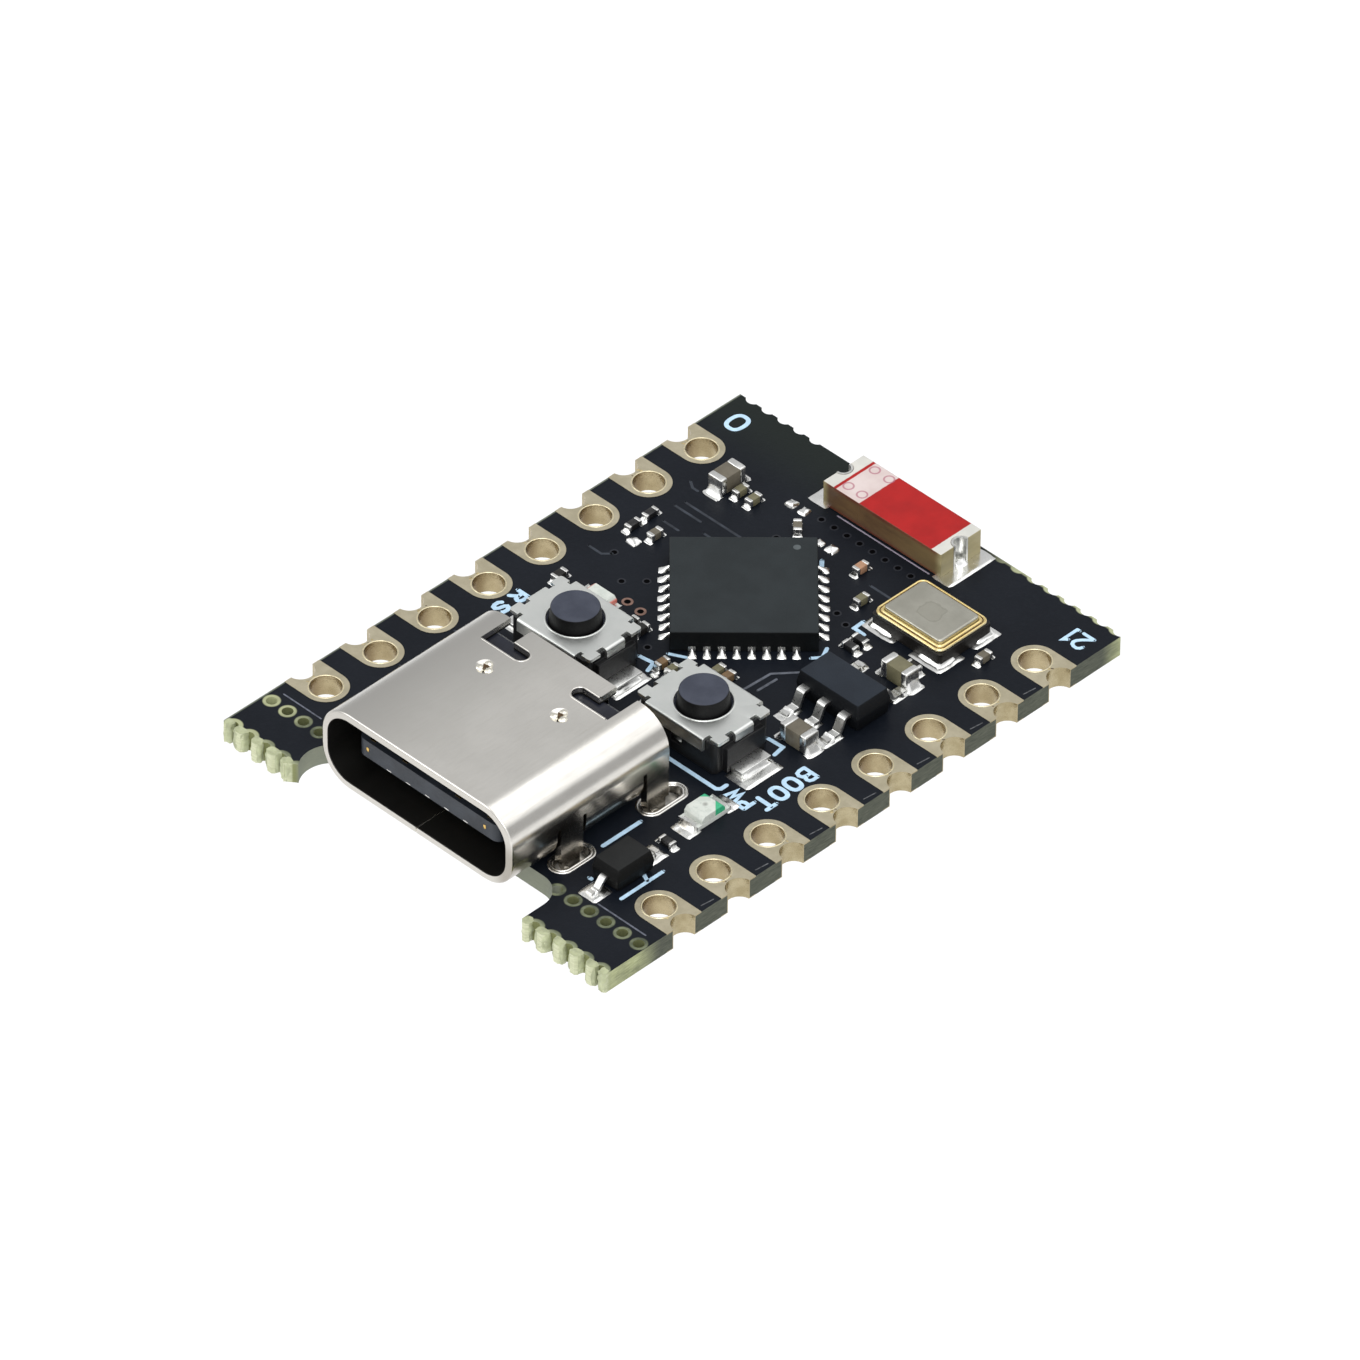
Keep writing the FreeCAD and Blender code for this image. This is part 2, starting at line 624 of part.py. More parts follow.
# contacts: four joined power blades and eight signal blades, each running
# from the tongue through the insulator to a foot behind the port
TOP = "board_thick + port_tall/2 + tongue_thick/2 - 0.09"
LOW = "board_thick + port_tall/2 - tongue_thick/2 - 0.01"
blades = []
for i, (xs, xt, row) in enumerate(
    [(-0.75, -1.25, 1), (-0.25, -0.25, 1), (0.25, 0.25, 1), (0.75, 1.25, 1),
     (-0.75, -1.75, 0), (-0.25, -0.75, 0), (0.25, 0.75, 0), (0.75, 1.75, 0)]
):
    t = "signal_%d" % (i + 1)
    z = TOP if row else LOW
    y = "-5.2" if row else ("-5.55" if abs(xs) < 0.5 else "-5.8")
    lo, hi = min(xs, xt) - 0.125, max(xs, xt) + 0.125
    blades.append(fuse(
        "blade_" + t,
        cbox("strip_" + t, "port_x + (%s)" % xs, "(-11.15 + %s)/2" % y, z, "0.25", "11.15 + (%s)" % y, "0.1"),
        box("jog_" + t, "port_x + (%s)" % lo, y, z, "%s" % (hi - lo), "0.15", "0.1"),
        box("drop_" + t, "port_x + (%s) - 0.125" % xt, y, "seat", "0.25", "0.15", "(%s) - seat + 0.1" % z),
        box("foot_" + t, "port_x + (%s) - 0.125" % xt, y, "seat", "0.25", "-4.15 - (%s)" % y, "0.12"),
    ))
for i, (xs, xt) in enumerate([(-2.75, -3.2), (-1.25, -2.4), (1.25, 2.4), (2.75, 3.2)]):
    t = "power_%d" % (i + 1)
    lo, hi = min(xs, xt) - 0.15, max(xs, xt) + 0.15
    blades.append(fuse(
        "blade_" + t,
        cbox("strip_a_" + t, "port_x + (%s)" % xs, "(-11.3 - 6.25)/2", TOP, "0.25", "5.05", "0.1"),
        cbox("strip_b_" + t, "port_x + (%s)" % xs, "(-11.3 - 6.25)/2", LOW, "0.25", "5.05", "0.1"),
        box("web_" + t, "port_x + (%s)" % lo, "-6.4", LOW, "%s" % (hi - lo), "0.15", "tongue_thick + 0.02"),
        box("drop_" + t, "port_x + (%s) - 0.15" % xt, "-6.4", "seat", "0.3", "0.15", "(%s) - seat + 0.1" % LOW),
        box("foot_" + t, "port_x + (%s) - 0.15" % xt, "-6.4", "seat", "0.3", "2.25", "0.12"),
    ))
contacts = node(group("contact_set", *blades), "port_contacts")
mid_plate = node(
    fuse("mid_plate_whole",
         cbox("mid_plate_main", "port_x", "(-11.1 - 6.6)/2", "board_thick + port_tall/2 - 0.07", "tongue_wide - 1.2", "4.5", "0.14"),
         cbox("mid_plate_ears", "port_x", "-9.6", "board_thick + port_tall/2 - 0.07", "tongue_wide + 0.04", "2.2", "0.14")),
    "port_mid_plate",
)
node(cut("insulator_cut", insulator, fuse("insulator_tools", contacts, mid_plate)), "port_insulator")

# solder that fills the leg slots round the legs
fills = []
legs_all = fuse("legs_all", *[s for s in leg_shapes])
for tag, x, y, long_ in LEGS:
    fills.append(obround("fill_" + tag, x, y, "0.02", "slot_wide", long_, "0.62"))
node(cut("slot_solder_cut", group("slot_solder_set", *fills), legs_all), "leg_slot_solder")

# ---------------------------------------------------------------- main chip
chip_turn = FreeCAD.Rotation(FreeCAD.Vector(0, 0, 1), 45)


def on_chip(bod, z):
    bod.Placement = FreeCAD.Placement(FreeCAD.Vector(0, 0, 0), chip_turn)
    place_only = (("x", "chip_x"), ("y", "chip_y"), ("z", z))
    for axis, text in place_only:
        bod.setExpression("Placement.Base." + axis, bound(text))
    return bod


def around(bod, name, feature, pitch, count):
    """Eight in a row on one side, then on all four sides."""
    multi = bod.newObject("PartDesign::MultiTransform", name)
    multi.Originals = [feature]
    row = bod.newObject("PartDesign::LinearPattern", name + "_row")
    row.Direction = (origin_item(bod, "X_Axis"), [""])
    row.Occurrences = count
    row.setExpression("Length", bound("(%s) * %d" % (pitch, count - 1)))
    turn = bod.newObject("PartDesign::PolarPattern", name + "_turn")
    turn.Axis = (origin_item(bod, "Z_Axis"), [""])
    turn.Angle = 360
    turn.Occurrences = 4
    multi.Transformations = [row, turn]
    bod.Tip = multi
    return multi


chip_lands = on_chip(body("chip_land_set"), "seat")
s = sketch(chip_lands, "chip_land_first")
sk_rect(s, "-3.5 * land_pitch - land_wide/2", "-chip_side/2", "land_wide", "land_long")
one = pad(chip_lands, "chip_land_one", s, "land_tall")
around(chip_lands, "chip_land_ring", one, "land_pitch", 8)
thermal = box("thermal_land_block", "-1.85", "-1.85", "0", "3.7", "3.7", "land_tall")
thermal.Placement = FreeCAD.Placement(FreeCAD.Vector(0, 0, 0), chip_turn)
thermal.setExpression("Placement.Base.x", bound("chip_x"))
thermal.setExpression("Placement.Base.y", bound("chip_y - 1.85 * sqrt(2)"))
thermal.setExpression("Placement.Base.z", bound("seat"))
chip_land_node = node(group("chip_land_group", chip_lands, thermal), "main_chip_lands")

chip_body = on_chip(body("chip_block"), "seat + 0.01")
s = sketch(chip_body, "chip_outline")
sk_rect(s, "-chip_side/2", "-chip_side/2", "chip_side", "chip_side")
blk = pad(chip_body, "chip_slab", s, "chip_tall - 0.01")
edge_round(
    chip_body, "chip_edges", blk,
    lambda e: not along("z")(e) and e.BoundBox.ZMin > ALIASES["chip_tall"] - 0.1, "0.04", "PartDesign::Chamfer",
)
chip_node = node(cut("chip_cut", chip_body, chip_land_node), "main_chip_package")

chip_solder = on_chip(body("chip_solder_set"), "board_thick")
s = sketch(chip_solder, "chip_solder_first", "-(3.5 * land_pitch + land_wide/2)", "YZ_Plane")
# a fillet's side view: out from the chip's wall and down to the board
V = FreeCAD.Vector
pts = [V(-2.9, 0, 0), V(-2.5, 0, 0), V(-2.5, 0.2, 0), V(-2.62, 0.17, 0), V(-2.86, 0.06, 0)]
s.addGeometry([Part.LineSegment(pts[i], pts[(i + 1) % 5]) for i in range(5)], False)
for i in range(5):
    s.addConstraint(Sketcher.Constraint("Coincident", i, 2, (i + 1) % 5, 1))
s.addConstraint(Sketcher.Constraint("Horizontal", 0))
s.addConstraint(Sketcher.Constraint("Vertical", 1))
set_rule(s, Sketcher.Constraint("DistanceX", 1, 1, -1, 1, 2.5), "chip_side/2")
set_rule(s, Sketcher.Constraint("DistanceX", 0, 1, 0, 2, 0.4), "land_long")
set_rule(s, Sketcher.Constraint("DistanceY", 1, 1, 1, 2, 0.2), "land_tall")
s.addConstraint(Sketcher.Constraint("DistanceY", -1, 1, 0, 1, 0.0))
s.addConstraint(Sketcher.Constraint("DistanceX", 2, 2, 2, 1, 0.12))
s.addConstraint(Sketcher.Constraint("DistanceY", 2, 2, 2, 1, 0.03))
s.addConstraint(Sketcher.Constraint("DistanceX", 3, 2, 3, 1, 0.24))
s.addConstraint(Sketcher.Constraint("DistanceY", 3, 2, 3, 1, 0.11))
one = pad(chip_solder, "chip_solder_one", s, "land_wide")
around(chip_solder, "chip_solder_ring", one, "land_pitch", 8)
node(chip_solder, "main_chip_solder")

# ---------------------------------------------------------------- antenna
aerial = body("aerial_block")
s = sketch(aerial, "aerial_outline", "seat")
sk_rect(s, "aerial_x - aerial_long/2", "aerial_y - aerial_wide/2", "aerial_long", "aerial_wide")
pad(aerial, "aerial_slab", s, "aerial_tall")
s = sketch(aerial, "aerial_end_holes", "seat")
sk_circle(s, "aerial_x - aerial_long/2", "aerial_y", "aerial_notch")
sk_circle(s, "aerial_x + aerial_long/2", "aerial_y", "aerial_notch")
pocket(aerial, "aerial_ends", s)
aerial_node = node(aerial, "antenna_body")
shells = []
for tag, x in (("left", "aerial_x - aerial_long/2"), ("right", "aerial_x + aerial_long/2")):
    ring = cut(
        "aerial_ring_" + tag,
        cyl("aerial_ring_out_" + tag, x, "aerial_y", "seat", "aerial_notch", "aerial_tall"),
        cyl("aerial_ring_in_" + tag, x, "aerial_y", "seat - 1", "aerial_notch - 0.08", "aerial_tall + 2"),
    )
    side = cbox("aerial_half_" + tag, "aerial_x", "aerial_y", "seat - 1", "aerial_long", "2", "aerial_tall + 2")
    shells.append(common("aerial_end_" + tag, ring, side))
node(group("aerial_end_set", *shells), "antenna_terminals")

# ---------------------------------------------------------------- crystal
xb = cbox("xtal_base_block", "xtal_x", "xtal_y", "seat", "xtal_long", "xtal_wide", "xtal_base")
xb = rounded("xtal_base_shape", xb, along("z"), 0.12)
node(xb, "crystal_base")
xr = cbox("xtal_rim_block", "xtal_x", "xtal_y", "seat + xtal_base", "xtal_long - 0.06", "xtal_wide - 0.06", "xtal_rim")
xr = rounded("xtal_rim_shape", xr, along("z"), 0.3)
node(xr, "crystal_rim")
xl = cbox("xtal_lid_block", "xtal_x", "xtal_y", "seat + xtal_base + xtal_rim", "xtal_lid_long", "xtal_lid_wide", "xtal_lid_tall")
xl = rounded("xtal_lid_shape", xl, along("z"), 0.16)
xl = rounded(
    "xtal_lid_soft", xl,
    lambda e: e.BoundBox.ZMin > ALIASES["seat"] + ALIASES["xtal_base"] + ALIASES["xtal_rim"] + ALIASES["xtal_lid_tall"] - 1e-4, 0.07,
)
node(xl, "crystal_lid")

# ---------------------------------------------------------------- regulator
rb = cbox("reg_block", "reg_x", "reg_y", "seat + 0.08", "reg_long", "reg_wide", "reg_tall - 0.08")
rb = rounded(
    "reg_shape", rb,
    lambda e: (along("x")(e) or along("y")(e)) and e.BoundBox.ZMin > ALIASES["seat"] + ALIASES["reg_tall"] - 0.01, 0.1, "Part::Chamfer",
)


def gull(name, x, y0, sign, wide, knee, out, reach, thick="0.13"):
    """A gull-wing lead: out of the body at knee height, down, and a foot."""
    d = "%s" % sign
    far = "(%s) + (%s)" % (reach, "0")
    return fuse(
        name,
        cbox(name + "_arm", x, "(%s) + (%s)*((%s) - (%s) + %s - 0.1)/2" % (y0, d, far, out, thick), knee, wide,
             "(%s) - (%s) + %s + 0.1" % (far, out, thick), thick),
        cbox(name + "_drop", x, "(%s) + (%s)*((%s) - (%s) + %s/2)" % (y0, d, far, out, thick), "seat", wide, thick,
             "(%s) - seat + %s" % (knee, thick)),
        cbox(name + "_foot", x, "(%s) + (%s)*((%s) - (%s)/2)" % (y0, d, far, out), "seat", wide, out, thick),
    )


leads = []
for k, (dx, sign) in enumerate((("-reg_pitch", -1), ("0", -1), ("reg_pitch", -1), ("-reg_pitch", 1), ("reg_pitch", 1))):
    leads.append(gull(
        "reg_lead_%d" % (k + 1), "reg_x + (%s)" % dx, "reg_y + (%d)*reg_wide/2" % sign, sign, "reg_lead", "seat + 0.54",
        "0.58", "1.08",
    ))
reg_leads = node(group("reg_lead_set", *leads), "regulator_leads")
node(cut("reg_cut", rb, reg_leads), "regulator_package")

# ---------------------------------------------------------------- diode
db = cbox("diode_block", "diode_x", "diode_y", "seat + 0.04", "diode_wide", "diode_long", "diode_tall - 0.04")
db = rounded(
    "diode_shape", db,
    lambda e: (along("x")(e) or along("y")(e)) and e.BoundBox.ZMin > ALIASES["seat"] + ALIASES["diode_tall"] - 0.01, 0.07, "Part::Chamfer",
)
dl = [
    gull("diode_lead_1", "diode_x", "diode_y - diode_long/2", -1, "0.3", "seat + 0.34", "0.42", "0.74"),
    gull("diode_lead_2", "diode_x", "diode_y + diode_long/2", 1, "0.3", "seat + 0.34", "0.42", "0.74"),
]
diode_leads = node(group("diode_lead_set", *dl), "diode_leads")
node(cut("diode_cut", db, diode_leads), "diode_package")


# ---------------------------------------------------------------- buttons
def push_button(tag, x):
    y = "key_y"
    # terminals: a flat tab out of the foot of each end wall
    feet = []
    for side, sign in (("left", -1), ("right", 1)):
        xw = "(%s) + (%s)*key_base_long/2" % (x, sign)
        feet.append(cbox(
            "%s_terminal_%s" % (tag, side), "(%s) + (%s)*0.25" % (xw, sign), "(%s) - 0.04" % y, "seat", "1.0", "1.4", "0.23",
        ))
    terminals = node(group(tag + "_terminal_set", *feet), tag + "_terminals")
    base = cbox(tag + "_base_block", x, y, "seat + 0.02", "key_base_long", "key_base_wide", "key_base_top - seat - 0.02")
    base = rounded(tag + "_base_shape", base, along("z"), 0.2)
    ends = cbox(tag + "_base_ends", x, y, "seat + 0.02", "key_base_long + 0.42", "1.76", "1.01")
    base = fuse(tag + "_base_whole", base, ends)
    cavity = cyl(tag + "_cavity", x, y, "key_floor", "key_cavity", "2")
    node(cut(tag + "_base_cut", base, fuse(tag + "_base_tools", cavity, terminals)), tag + "_base")
    # spring dome: a thin cap of a sphere standing on the cavity's floor
    ball = doc.addObject("Part::Sphere", tag + "_ball")
    ball.setExpression("Radius", bound("dome_ball"))
    place(ball, x, y, "key_floor + dome_tall - dome_ball")
    hollow = doc.addObject("Part::Sphere", tag + "_ball_inner")
    hollow.setExpression("Radius", bound("dome_ball - dome_skin"))
    place(hollow, x, y, "key_floor + dome_tall - dome_ball")
    slab = cbox(tag + "_dome_slab", x, y, "key_floor", "4", "4", "1")
    node(common(tag + "_dome_cap", cut(tag + "_dome_skin", ball, hollow), slab), tag + "_dome")
    # plunger: tapered cap, retaining flange and a nub over the dome
    cone = doc.addObject("Part::Cone", tag + "_cap_cone")
    cone.setExpression("Radius1", bound("key_cap_foot"))
    cone.setExpression("Radius2", bound("key_cap_tip"))
    cone.setExpression("Height", bound("key_top - key_base_top + 0.01"))
    place(cone, x, y, "key_base_top - 0.01")
    cap = rounded(tag + "_cap_soft", cone, lambda e: e.BoundBox.ZMin > ALIASES["key_top"] - 0.01 and e.Closed, 0.07)
    flange = cyl(tag + "_flange", x, y, "key_base_top - 0.01 - key_flange_tall", "key_flange", "key_flange_tall")
    nub = cyl(tag + "_nub", x, y, "key_floor + dome_tall + 0.01", "key_nub", "key_base_top - key_floor - dome_tall - 0.05")
    node(fuse(tag + "_plunger_whole", cap, flange, nub), tag + "_plunger")
    # cover: pressed sheet with a round hole, notched sides, two skirts and
    # two crimp tabs
    plate = cbox(tag + "_cover_plate", x, y, "key_base_top", "key_long", "key_flat", "key_skin")
    plate = rounded(tag + "_cover_corners", plate, along("z"), 0.1)
    span = cbox(tag + "_cover_span", x, y, "key_base_top", "key_skirt", "key_wide", "key_skin")
    notches = [cyl(tag + "_cover_hole", x, y, "key_base_top - 1", "key_hole", "3")]
    for sx in (-1, 1):
        for k, dy in enumerate((-0.58, 0.58)):
            notches.append(cbox(
                "%s_notch_%d_%d" % (tag, sx + 1, k),
                "(%s) + (%s)*(key_long/2 - 0.06)" % (x, sx), "(%s) + (%s)" % (y, dy), "key_base_top - 1", "0.34", "0.3", "3",
            ))
    for sx in (-1, 1):
        for sy in (-1, 1):
            notches.append(cbox(
                "%s_nick_%d_%d" % (tag, sx + 1, sy + 1),
                "(%s) + (%s)*(key_skirt/2 + 0.08)" % (x, sx), "(%s) + (%s)*(key_flat/2 + 0.05)" % (y, sy),
                "key_base_top - 1", "0.16", "0.34", "3",
            ))
    folds = []
    for sy in (-1, 1):
        folds.append(cbox(
            "%s_skirt_%d" % (tag, sy + 1), x, "(%s) + (%s)*(key_wide/2 - key_skin/2)" % (y, sy),
            "key_base_top - key_drop", "key_skirt", "key_skin", "key_drop + key_skin",
        ))
    for sx in (-1, 1):
        folds.append(cbox(
            "%s_tab_%d" % (tag, sx + 1), "(%s) + (%s)*(key_long/2 - key_skin/2)" % (x, sx), y,
            "key_base_top - 0.26", "key_skin", "0.84", "0.26 + key_skin",
        ))
    cover = cut(tag + "_cover_cut", fuse(tag + "_cover_whole", plate, span, *folds), fuse(tag + "_cover_tools", *notches))
    top = ALIASES["key_base_top"] + ALIASES["key_skin"]
    half_x, half_y = ALIASES["key_long"] / 2, ALIASES["key_wide"] / 2
    cx, cy = ALIASES[x], ALIASES["key_y"]

    def outer_top(e):
        b = e.BoundBox
        if b.ZMin < top - 1e-4 or not isinstance(e.Curve, Part.Line):
            return False
        on_y = abs(abs(b.Center.y - cy) - half_y) < 1e-3 and b.XLength > 2.0
        on_x = abs(abs(b.Center.x - cx) - half_x) < 1e-3 and b.YLength > 0.7
        return on_y or on_x

    node(rounded(tag + "_cover_soft", cover, outer_top, 0.12), tag + "_cover")


push_button("reset", "reset_x")
push_button("boot", "boot_x")


# ---------------------------------------------------------------- lights
def light(tag, x, y, flip, lens_long):
    """Pale base, clear lens block, and a wrapped terminal at each end."""
    def b(name, dx, dy, z, lx, ly, lz):
        if flip:
            dx, dy, lx, ly = dy, dx, ly, lx
        return cbox(name, "(%s) + (%s)" % (x, dx), "(%s) + (%s)" % (y, dy), z, lx, ly, lz)

    ends = []
    for k, sign in (("a", -1), ("b", 1)):
        ends.append(fuse(
            "%s_end_%s" % (tag, k),
            b("%s_end_side_%s" % (tag, k), "0", "(%s)*(lamp_long/2 - 0.02)" % sign, "seat", "lamp_wide", "0.04", "lamp_base + 0.02"),
            b("%s_end_top_%s" % (tag, k), "0", "(%s)*(lamp_long/2 - 0.11)" % sign, "seat + lamp_base", "lamp_wide - 0.24", "0.22", "0.02"),
            b("%s_end_low_%s" % (tag, k), "0", "(%s)*(lamp_long/2 - 0.15)" % sign, "seat", "lamp_wide", "0.3", "0.02"),
        ))
    terminals = node(group(tag + "_end_set", *ends), tag + "_light_terminals")
    slab = b(tag + "_slab", "0", "0", "seat", "lamp_wide", "lamp_long", "lamp_base")
    node(cut(tag + "_slab_cut", slab, terminals), tag + "_light_base")
    lens = b(tag + "_lens_block", "0", "0", "seat + lamp_base", "lamp_wide", lens_long, "lamp_tall - lamp_base")
    top = ALIASES["seat"] + ALIASES["lamp_tall"]
    ends_axis = "y" if flip else "x"
    lens = rounded(
        tag + "_lens_shape", lens,
        lambda e: along(ends_axis)(e) and e.BoundBox.ZMin > top - 0.01, 0.13, "Part::Chamfer",
    )
    node(lens, tag + "_light_lens")


light("power", "lamp_x", "lamp_y", False, "lamp_lens")
light("status", "signal_x", "signal_y", True, "lamp_lens + 0.06")


# ---------------------------------------------------------------- chip parts
def chip_parts(tag, parts, end):
    """Bodies and end caps of small two-ended parts."""
    bodies, caps = [], []
    for i, (_, _, way, _, _, _) in enumerate(parts):
        p = "%s_%d_" % (tag, i + 1)
        x, y, lo, wi, ta = (p + k for k in ("x", "y", "long", "wide", "tall"))
        if way == "d":
            for k, (a, l) in enumerate(
                [("-(%s)/2 + %s" % (lo, end), "%s - 2*%s" % (lo, end)),
                 ("-(%s)/2" % lo, end), ("(%s)/2 - %s" % (lo, end), end)]
            ):
                o = doc.addObject("Part::Box", "%sblock_%d" % (p, k))
                o.setExpression("Length", bound(l))
                o.setExpression("Width", bound(wi))
                o.setExpression("Height", bound(ta))
                o.Placement = FreeCAD.Placement(
                    FreeCAD.Vector(0, 0, 0), FreeCAD.Rotation(FreeCAD.Vector(0, 0, 1), -45)
                )
                # lowest corner (a, -wide/2) turned by minus 45 degrees
                o.setExpression("Placement.Base.x", bound("%s + ((%s) - %s/2) / sqrt(2)" % (x, a, wi)))
                o.setExpression("Placement.Base.y", bound("%s + (-(%s) - %s/2) / sqrt(2)" % (y, a, wi)))
                o.setExpression("Placement.Base.z", bound("seat"))
                (bodies if k == 0 else caps).append(o)
            continue
        for k, (off, l) in enumerate(
            [("0", "%s - 2*%s" % (lo, end)), ("-(%s)/2 + %s/2" % (lo, end), end), ("(%s)/2 - %s/2" % (lo, end), end)]
        ):
            if way == "x":
                o = cbox("%sblock_%d" % (p, k), "%s + (%s)" % (x, off), y, "seat", l, wi, ta)
            else:
                o = cbox("%sblock_%d" % (p, k), x, "%s + (%s)" % (y, off), "seat", wi, l, ta)
            (bodies if k == 0 else caps).append(o)
    return bodies, caps


for tag, parts, end, name in (
    ("bigcap", BIG_CAPS, "0.29", "large_capacitor"),
    ("smallcap", SMALL_CAPS, "0.15", "small_capacitor"),
    ("res", RESISTORS, "0.13", "resistor"),
):
    bodies, caps = chip_parts(tag, parts, end)
    node(group(name + "_body_set", *bodies), name + "_bodies")
    node(group(name + "_end_set", *caps), name + "_ends")

# ---------------------------------------------------------------- solder
# Thin tinned beds that the parts stand on, from the board's face to the
# seat height, and a few beads with no part on them.
beds = []


def bed(name, x, y, lx, ly, tall="seat - board_thick"):
    beds.append(cbox("bed_" + name, x, y, "board_thick", lx, ly, tall))


for i, (dx, dy) in enumerate(((-1, -1), (1, -1), (-1, 1), (1, 1))):
    bed("xtal_%d" % i, "xtal_x + (%s)*1.1" % dx, "xtal_y + (%s)*0.88" % dy, "1.48", "1.28")
for i, (dx, dy) in enumerate(((-1, -1), (0, -1), (1, -1), (-1, 1), (1, 1))):
    bed("reg_%d" % i, "reg_x + (%s)*reg_pitch" % dx, "reg_y + (%s)*(reg_wide/2 + %s)" % (dy, "0.84" if dy < 0 else "0.74"),
        "0.56", "0.94" if dy < 0 else "0.7")
for i, dy in enumerate((-1, 1)):
    bed("diode_%d" % i, "diode_x", "diode_y + (%s)*1.3" % dy, "0.84", "0.86")
    bed("lamp_%d" % i, "lamp_x + 0.05", "lamp_y + (%s)*(lamp_long/2 + 0.12)" % dy, "0.9", "0.62")
    bed("signal_%d" % i, "signal_x + (%s)*(lamp_long/2 + 0.06)" % dy, "signal_y", "0.5", "0.86")
    bed("aerial_%d" % i, "aerial_x + (%s)*2.92" % dy, "aerial_y", "0.88", "2.26")
    bed("reset_pad_%d" % i, "reset_x + (%s)*2.38" % dy, "key_y", "0.86", "1.66")
    bed("boot_pad_%d" % i, "boot_x + (%s)*%s" % (dy, "2.52" if dy > 0 else "2.3"), "key_y - 0.16" if dy > 0 else "key_y", "1.1" if dy > 0 else "0.7", "1.72" if dy > 0 else "1.66")
for i, x in enumerate((-3.2, -2.4, -1.75, -1.25, -0.75, -0.25, 0.25, 0.75, 1.25, 1.75, 2.4, 3.2)):
    bed("tail_%d" % i, "port_x + (%s)" % x, "-4.2", "0.3", "0.7")
for tag, parts, out in (("bigcap", BIG_CAPS, 0.3), ("smallcap", SMALL_CAPS, 0.09), ("res", RESISTORS, 0.13)):
    for i, (_, _, way, _, _, _) in enumerate(parts):
        p = "%s_%d_" % (tag, i + 1)
        for k in (-1, 1):
            off = "(%s)*(%slong/2 - %s)" % (k, p, "0.02" if tag == "bigcap" else "0.03")
            size = "%s" % (out * 2)
            if way == "x":
                bed("%s%d" % (p, k + 1), "%sx + %s" % (p, off), p + "y", size, p + "wide")
            elif way == "y":
                bed("%s%d" % (p, k + 1), p + "x", "%sy + %s" % (p, off), p + "wide", size)
            else:
                bed("%s%d" % (p, k + 1), "%sx + %s/sqrt(2)" % (p, off), "%sy - %s/sqrt(2)" % (p, off), "0.24", "0.24")
for i, (x, y, lx, ly) in enumerate(
    ((-3.62, 8.97, 0.42, 0.42), (-3.04, 8.97, 0.38, 0.42), (-1.5, 8.17, 0.34, 0.3), (-0.98, 8.2, 0.44, 0.42),
     (-5.98, 3.76, 0.46, 0.42), (-0.56, -0.71, 0.3, 0.22))
):
    bed("bead_%d" % i, "%s" % x, "%s" % y, "%s" % lx, "%s" % ly, "0.07")
node(group("bed_set", *beds), "component_solder")

# ---------------------------------------------------------------- write out
doc.recompute()
problems = []
for obj in doc.Objects:
    state = [str(x) for x in obj.State]
    if "Invalid" in state or "Error" in state:
        problems.append("%s %s" % (obj.Name, state))
for obj in NODES:
    shape = obj.Shape
    if shape.isNull() or not shape.isValid() or not shape.Solids or shape.Volume <= 0:
        problems.append("bad shape: " + obj.Label)
if problems:
    raise RuntimeError("; ".join(problems))
os.makedirs("parts", exist_ok=True)
for obj in NODES:
    obj.Shape.exportStep(os.path.join("parts", obj.Label + ".step"))
    print("%-24s solids %3d  volume %9.4f" % (obj.Label, len(obj.Shape.Solids), obj.Shape.Volume))
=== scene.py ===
import bpy
import bmesh
import math
import random
from mathutils import Matrix, Vector, noise


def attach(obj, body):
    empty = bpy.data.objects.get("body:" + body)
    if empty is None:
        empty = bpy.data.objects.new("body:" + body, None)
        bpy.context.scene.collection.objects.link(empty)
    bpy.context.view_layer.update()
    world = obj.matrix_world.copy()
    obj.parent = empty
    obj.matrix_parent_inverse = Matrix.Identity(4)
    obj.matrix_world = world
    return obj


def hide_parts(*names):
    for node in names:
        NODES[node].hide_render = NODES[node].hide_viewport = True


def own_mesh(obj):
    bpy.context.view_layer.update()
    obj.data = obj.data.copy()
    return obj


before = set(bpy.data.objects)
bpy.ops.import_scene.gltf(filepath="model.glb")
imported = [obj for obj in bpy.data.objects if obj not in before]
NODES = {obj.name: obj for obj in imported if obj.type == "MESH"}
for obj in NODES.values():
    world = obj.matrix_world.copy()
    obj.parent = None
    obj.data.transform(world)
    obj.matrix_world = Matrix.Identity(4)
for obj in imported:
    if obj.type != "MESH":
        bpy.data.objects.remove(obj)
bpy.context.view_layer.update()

MM = 0.001
TOP = 0.8            # board face, mm
SEAT = 0.82          # parts stand here, mm


# ------------------------------------------------------------------ materials
def lin(r, g, b):
    """A colour seen in 0..255 steps, as the linear colour that the shader wants."""
    out = []
    for c in (r, g, b):
        c = c / 255.0
        out.append(c / 12.92 if c <= 0.04045 else ((c + 0.055) / 1.055) ** 2.4)
    return (out[0], out[1], out[2], 1.0)


def shade(c, k):
    return (min(c[0] * k, 1.0), min(c[1] * k, 1.0), min(c[2] * k, 1.0), 1.0)


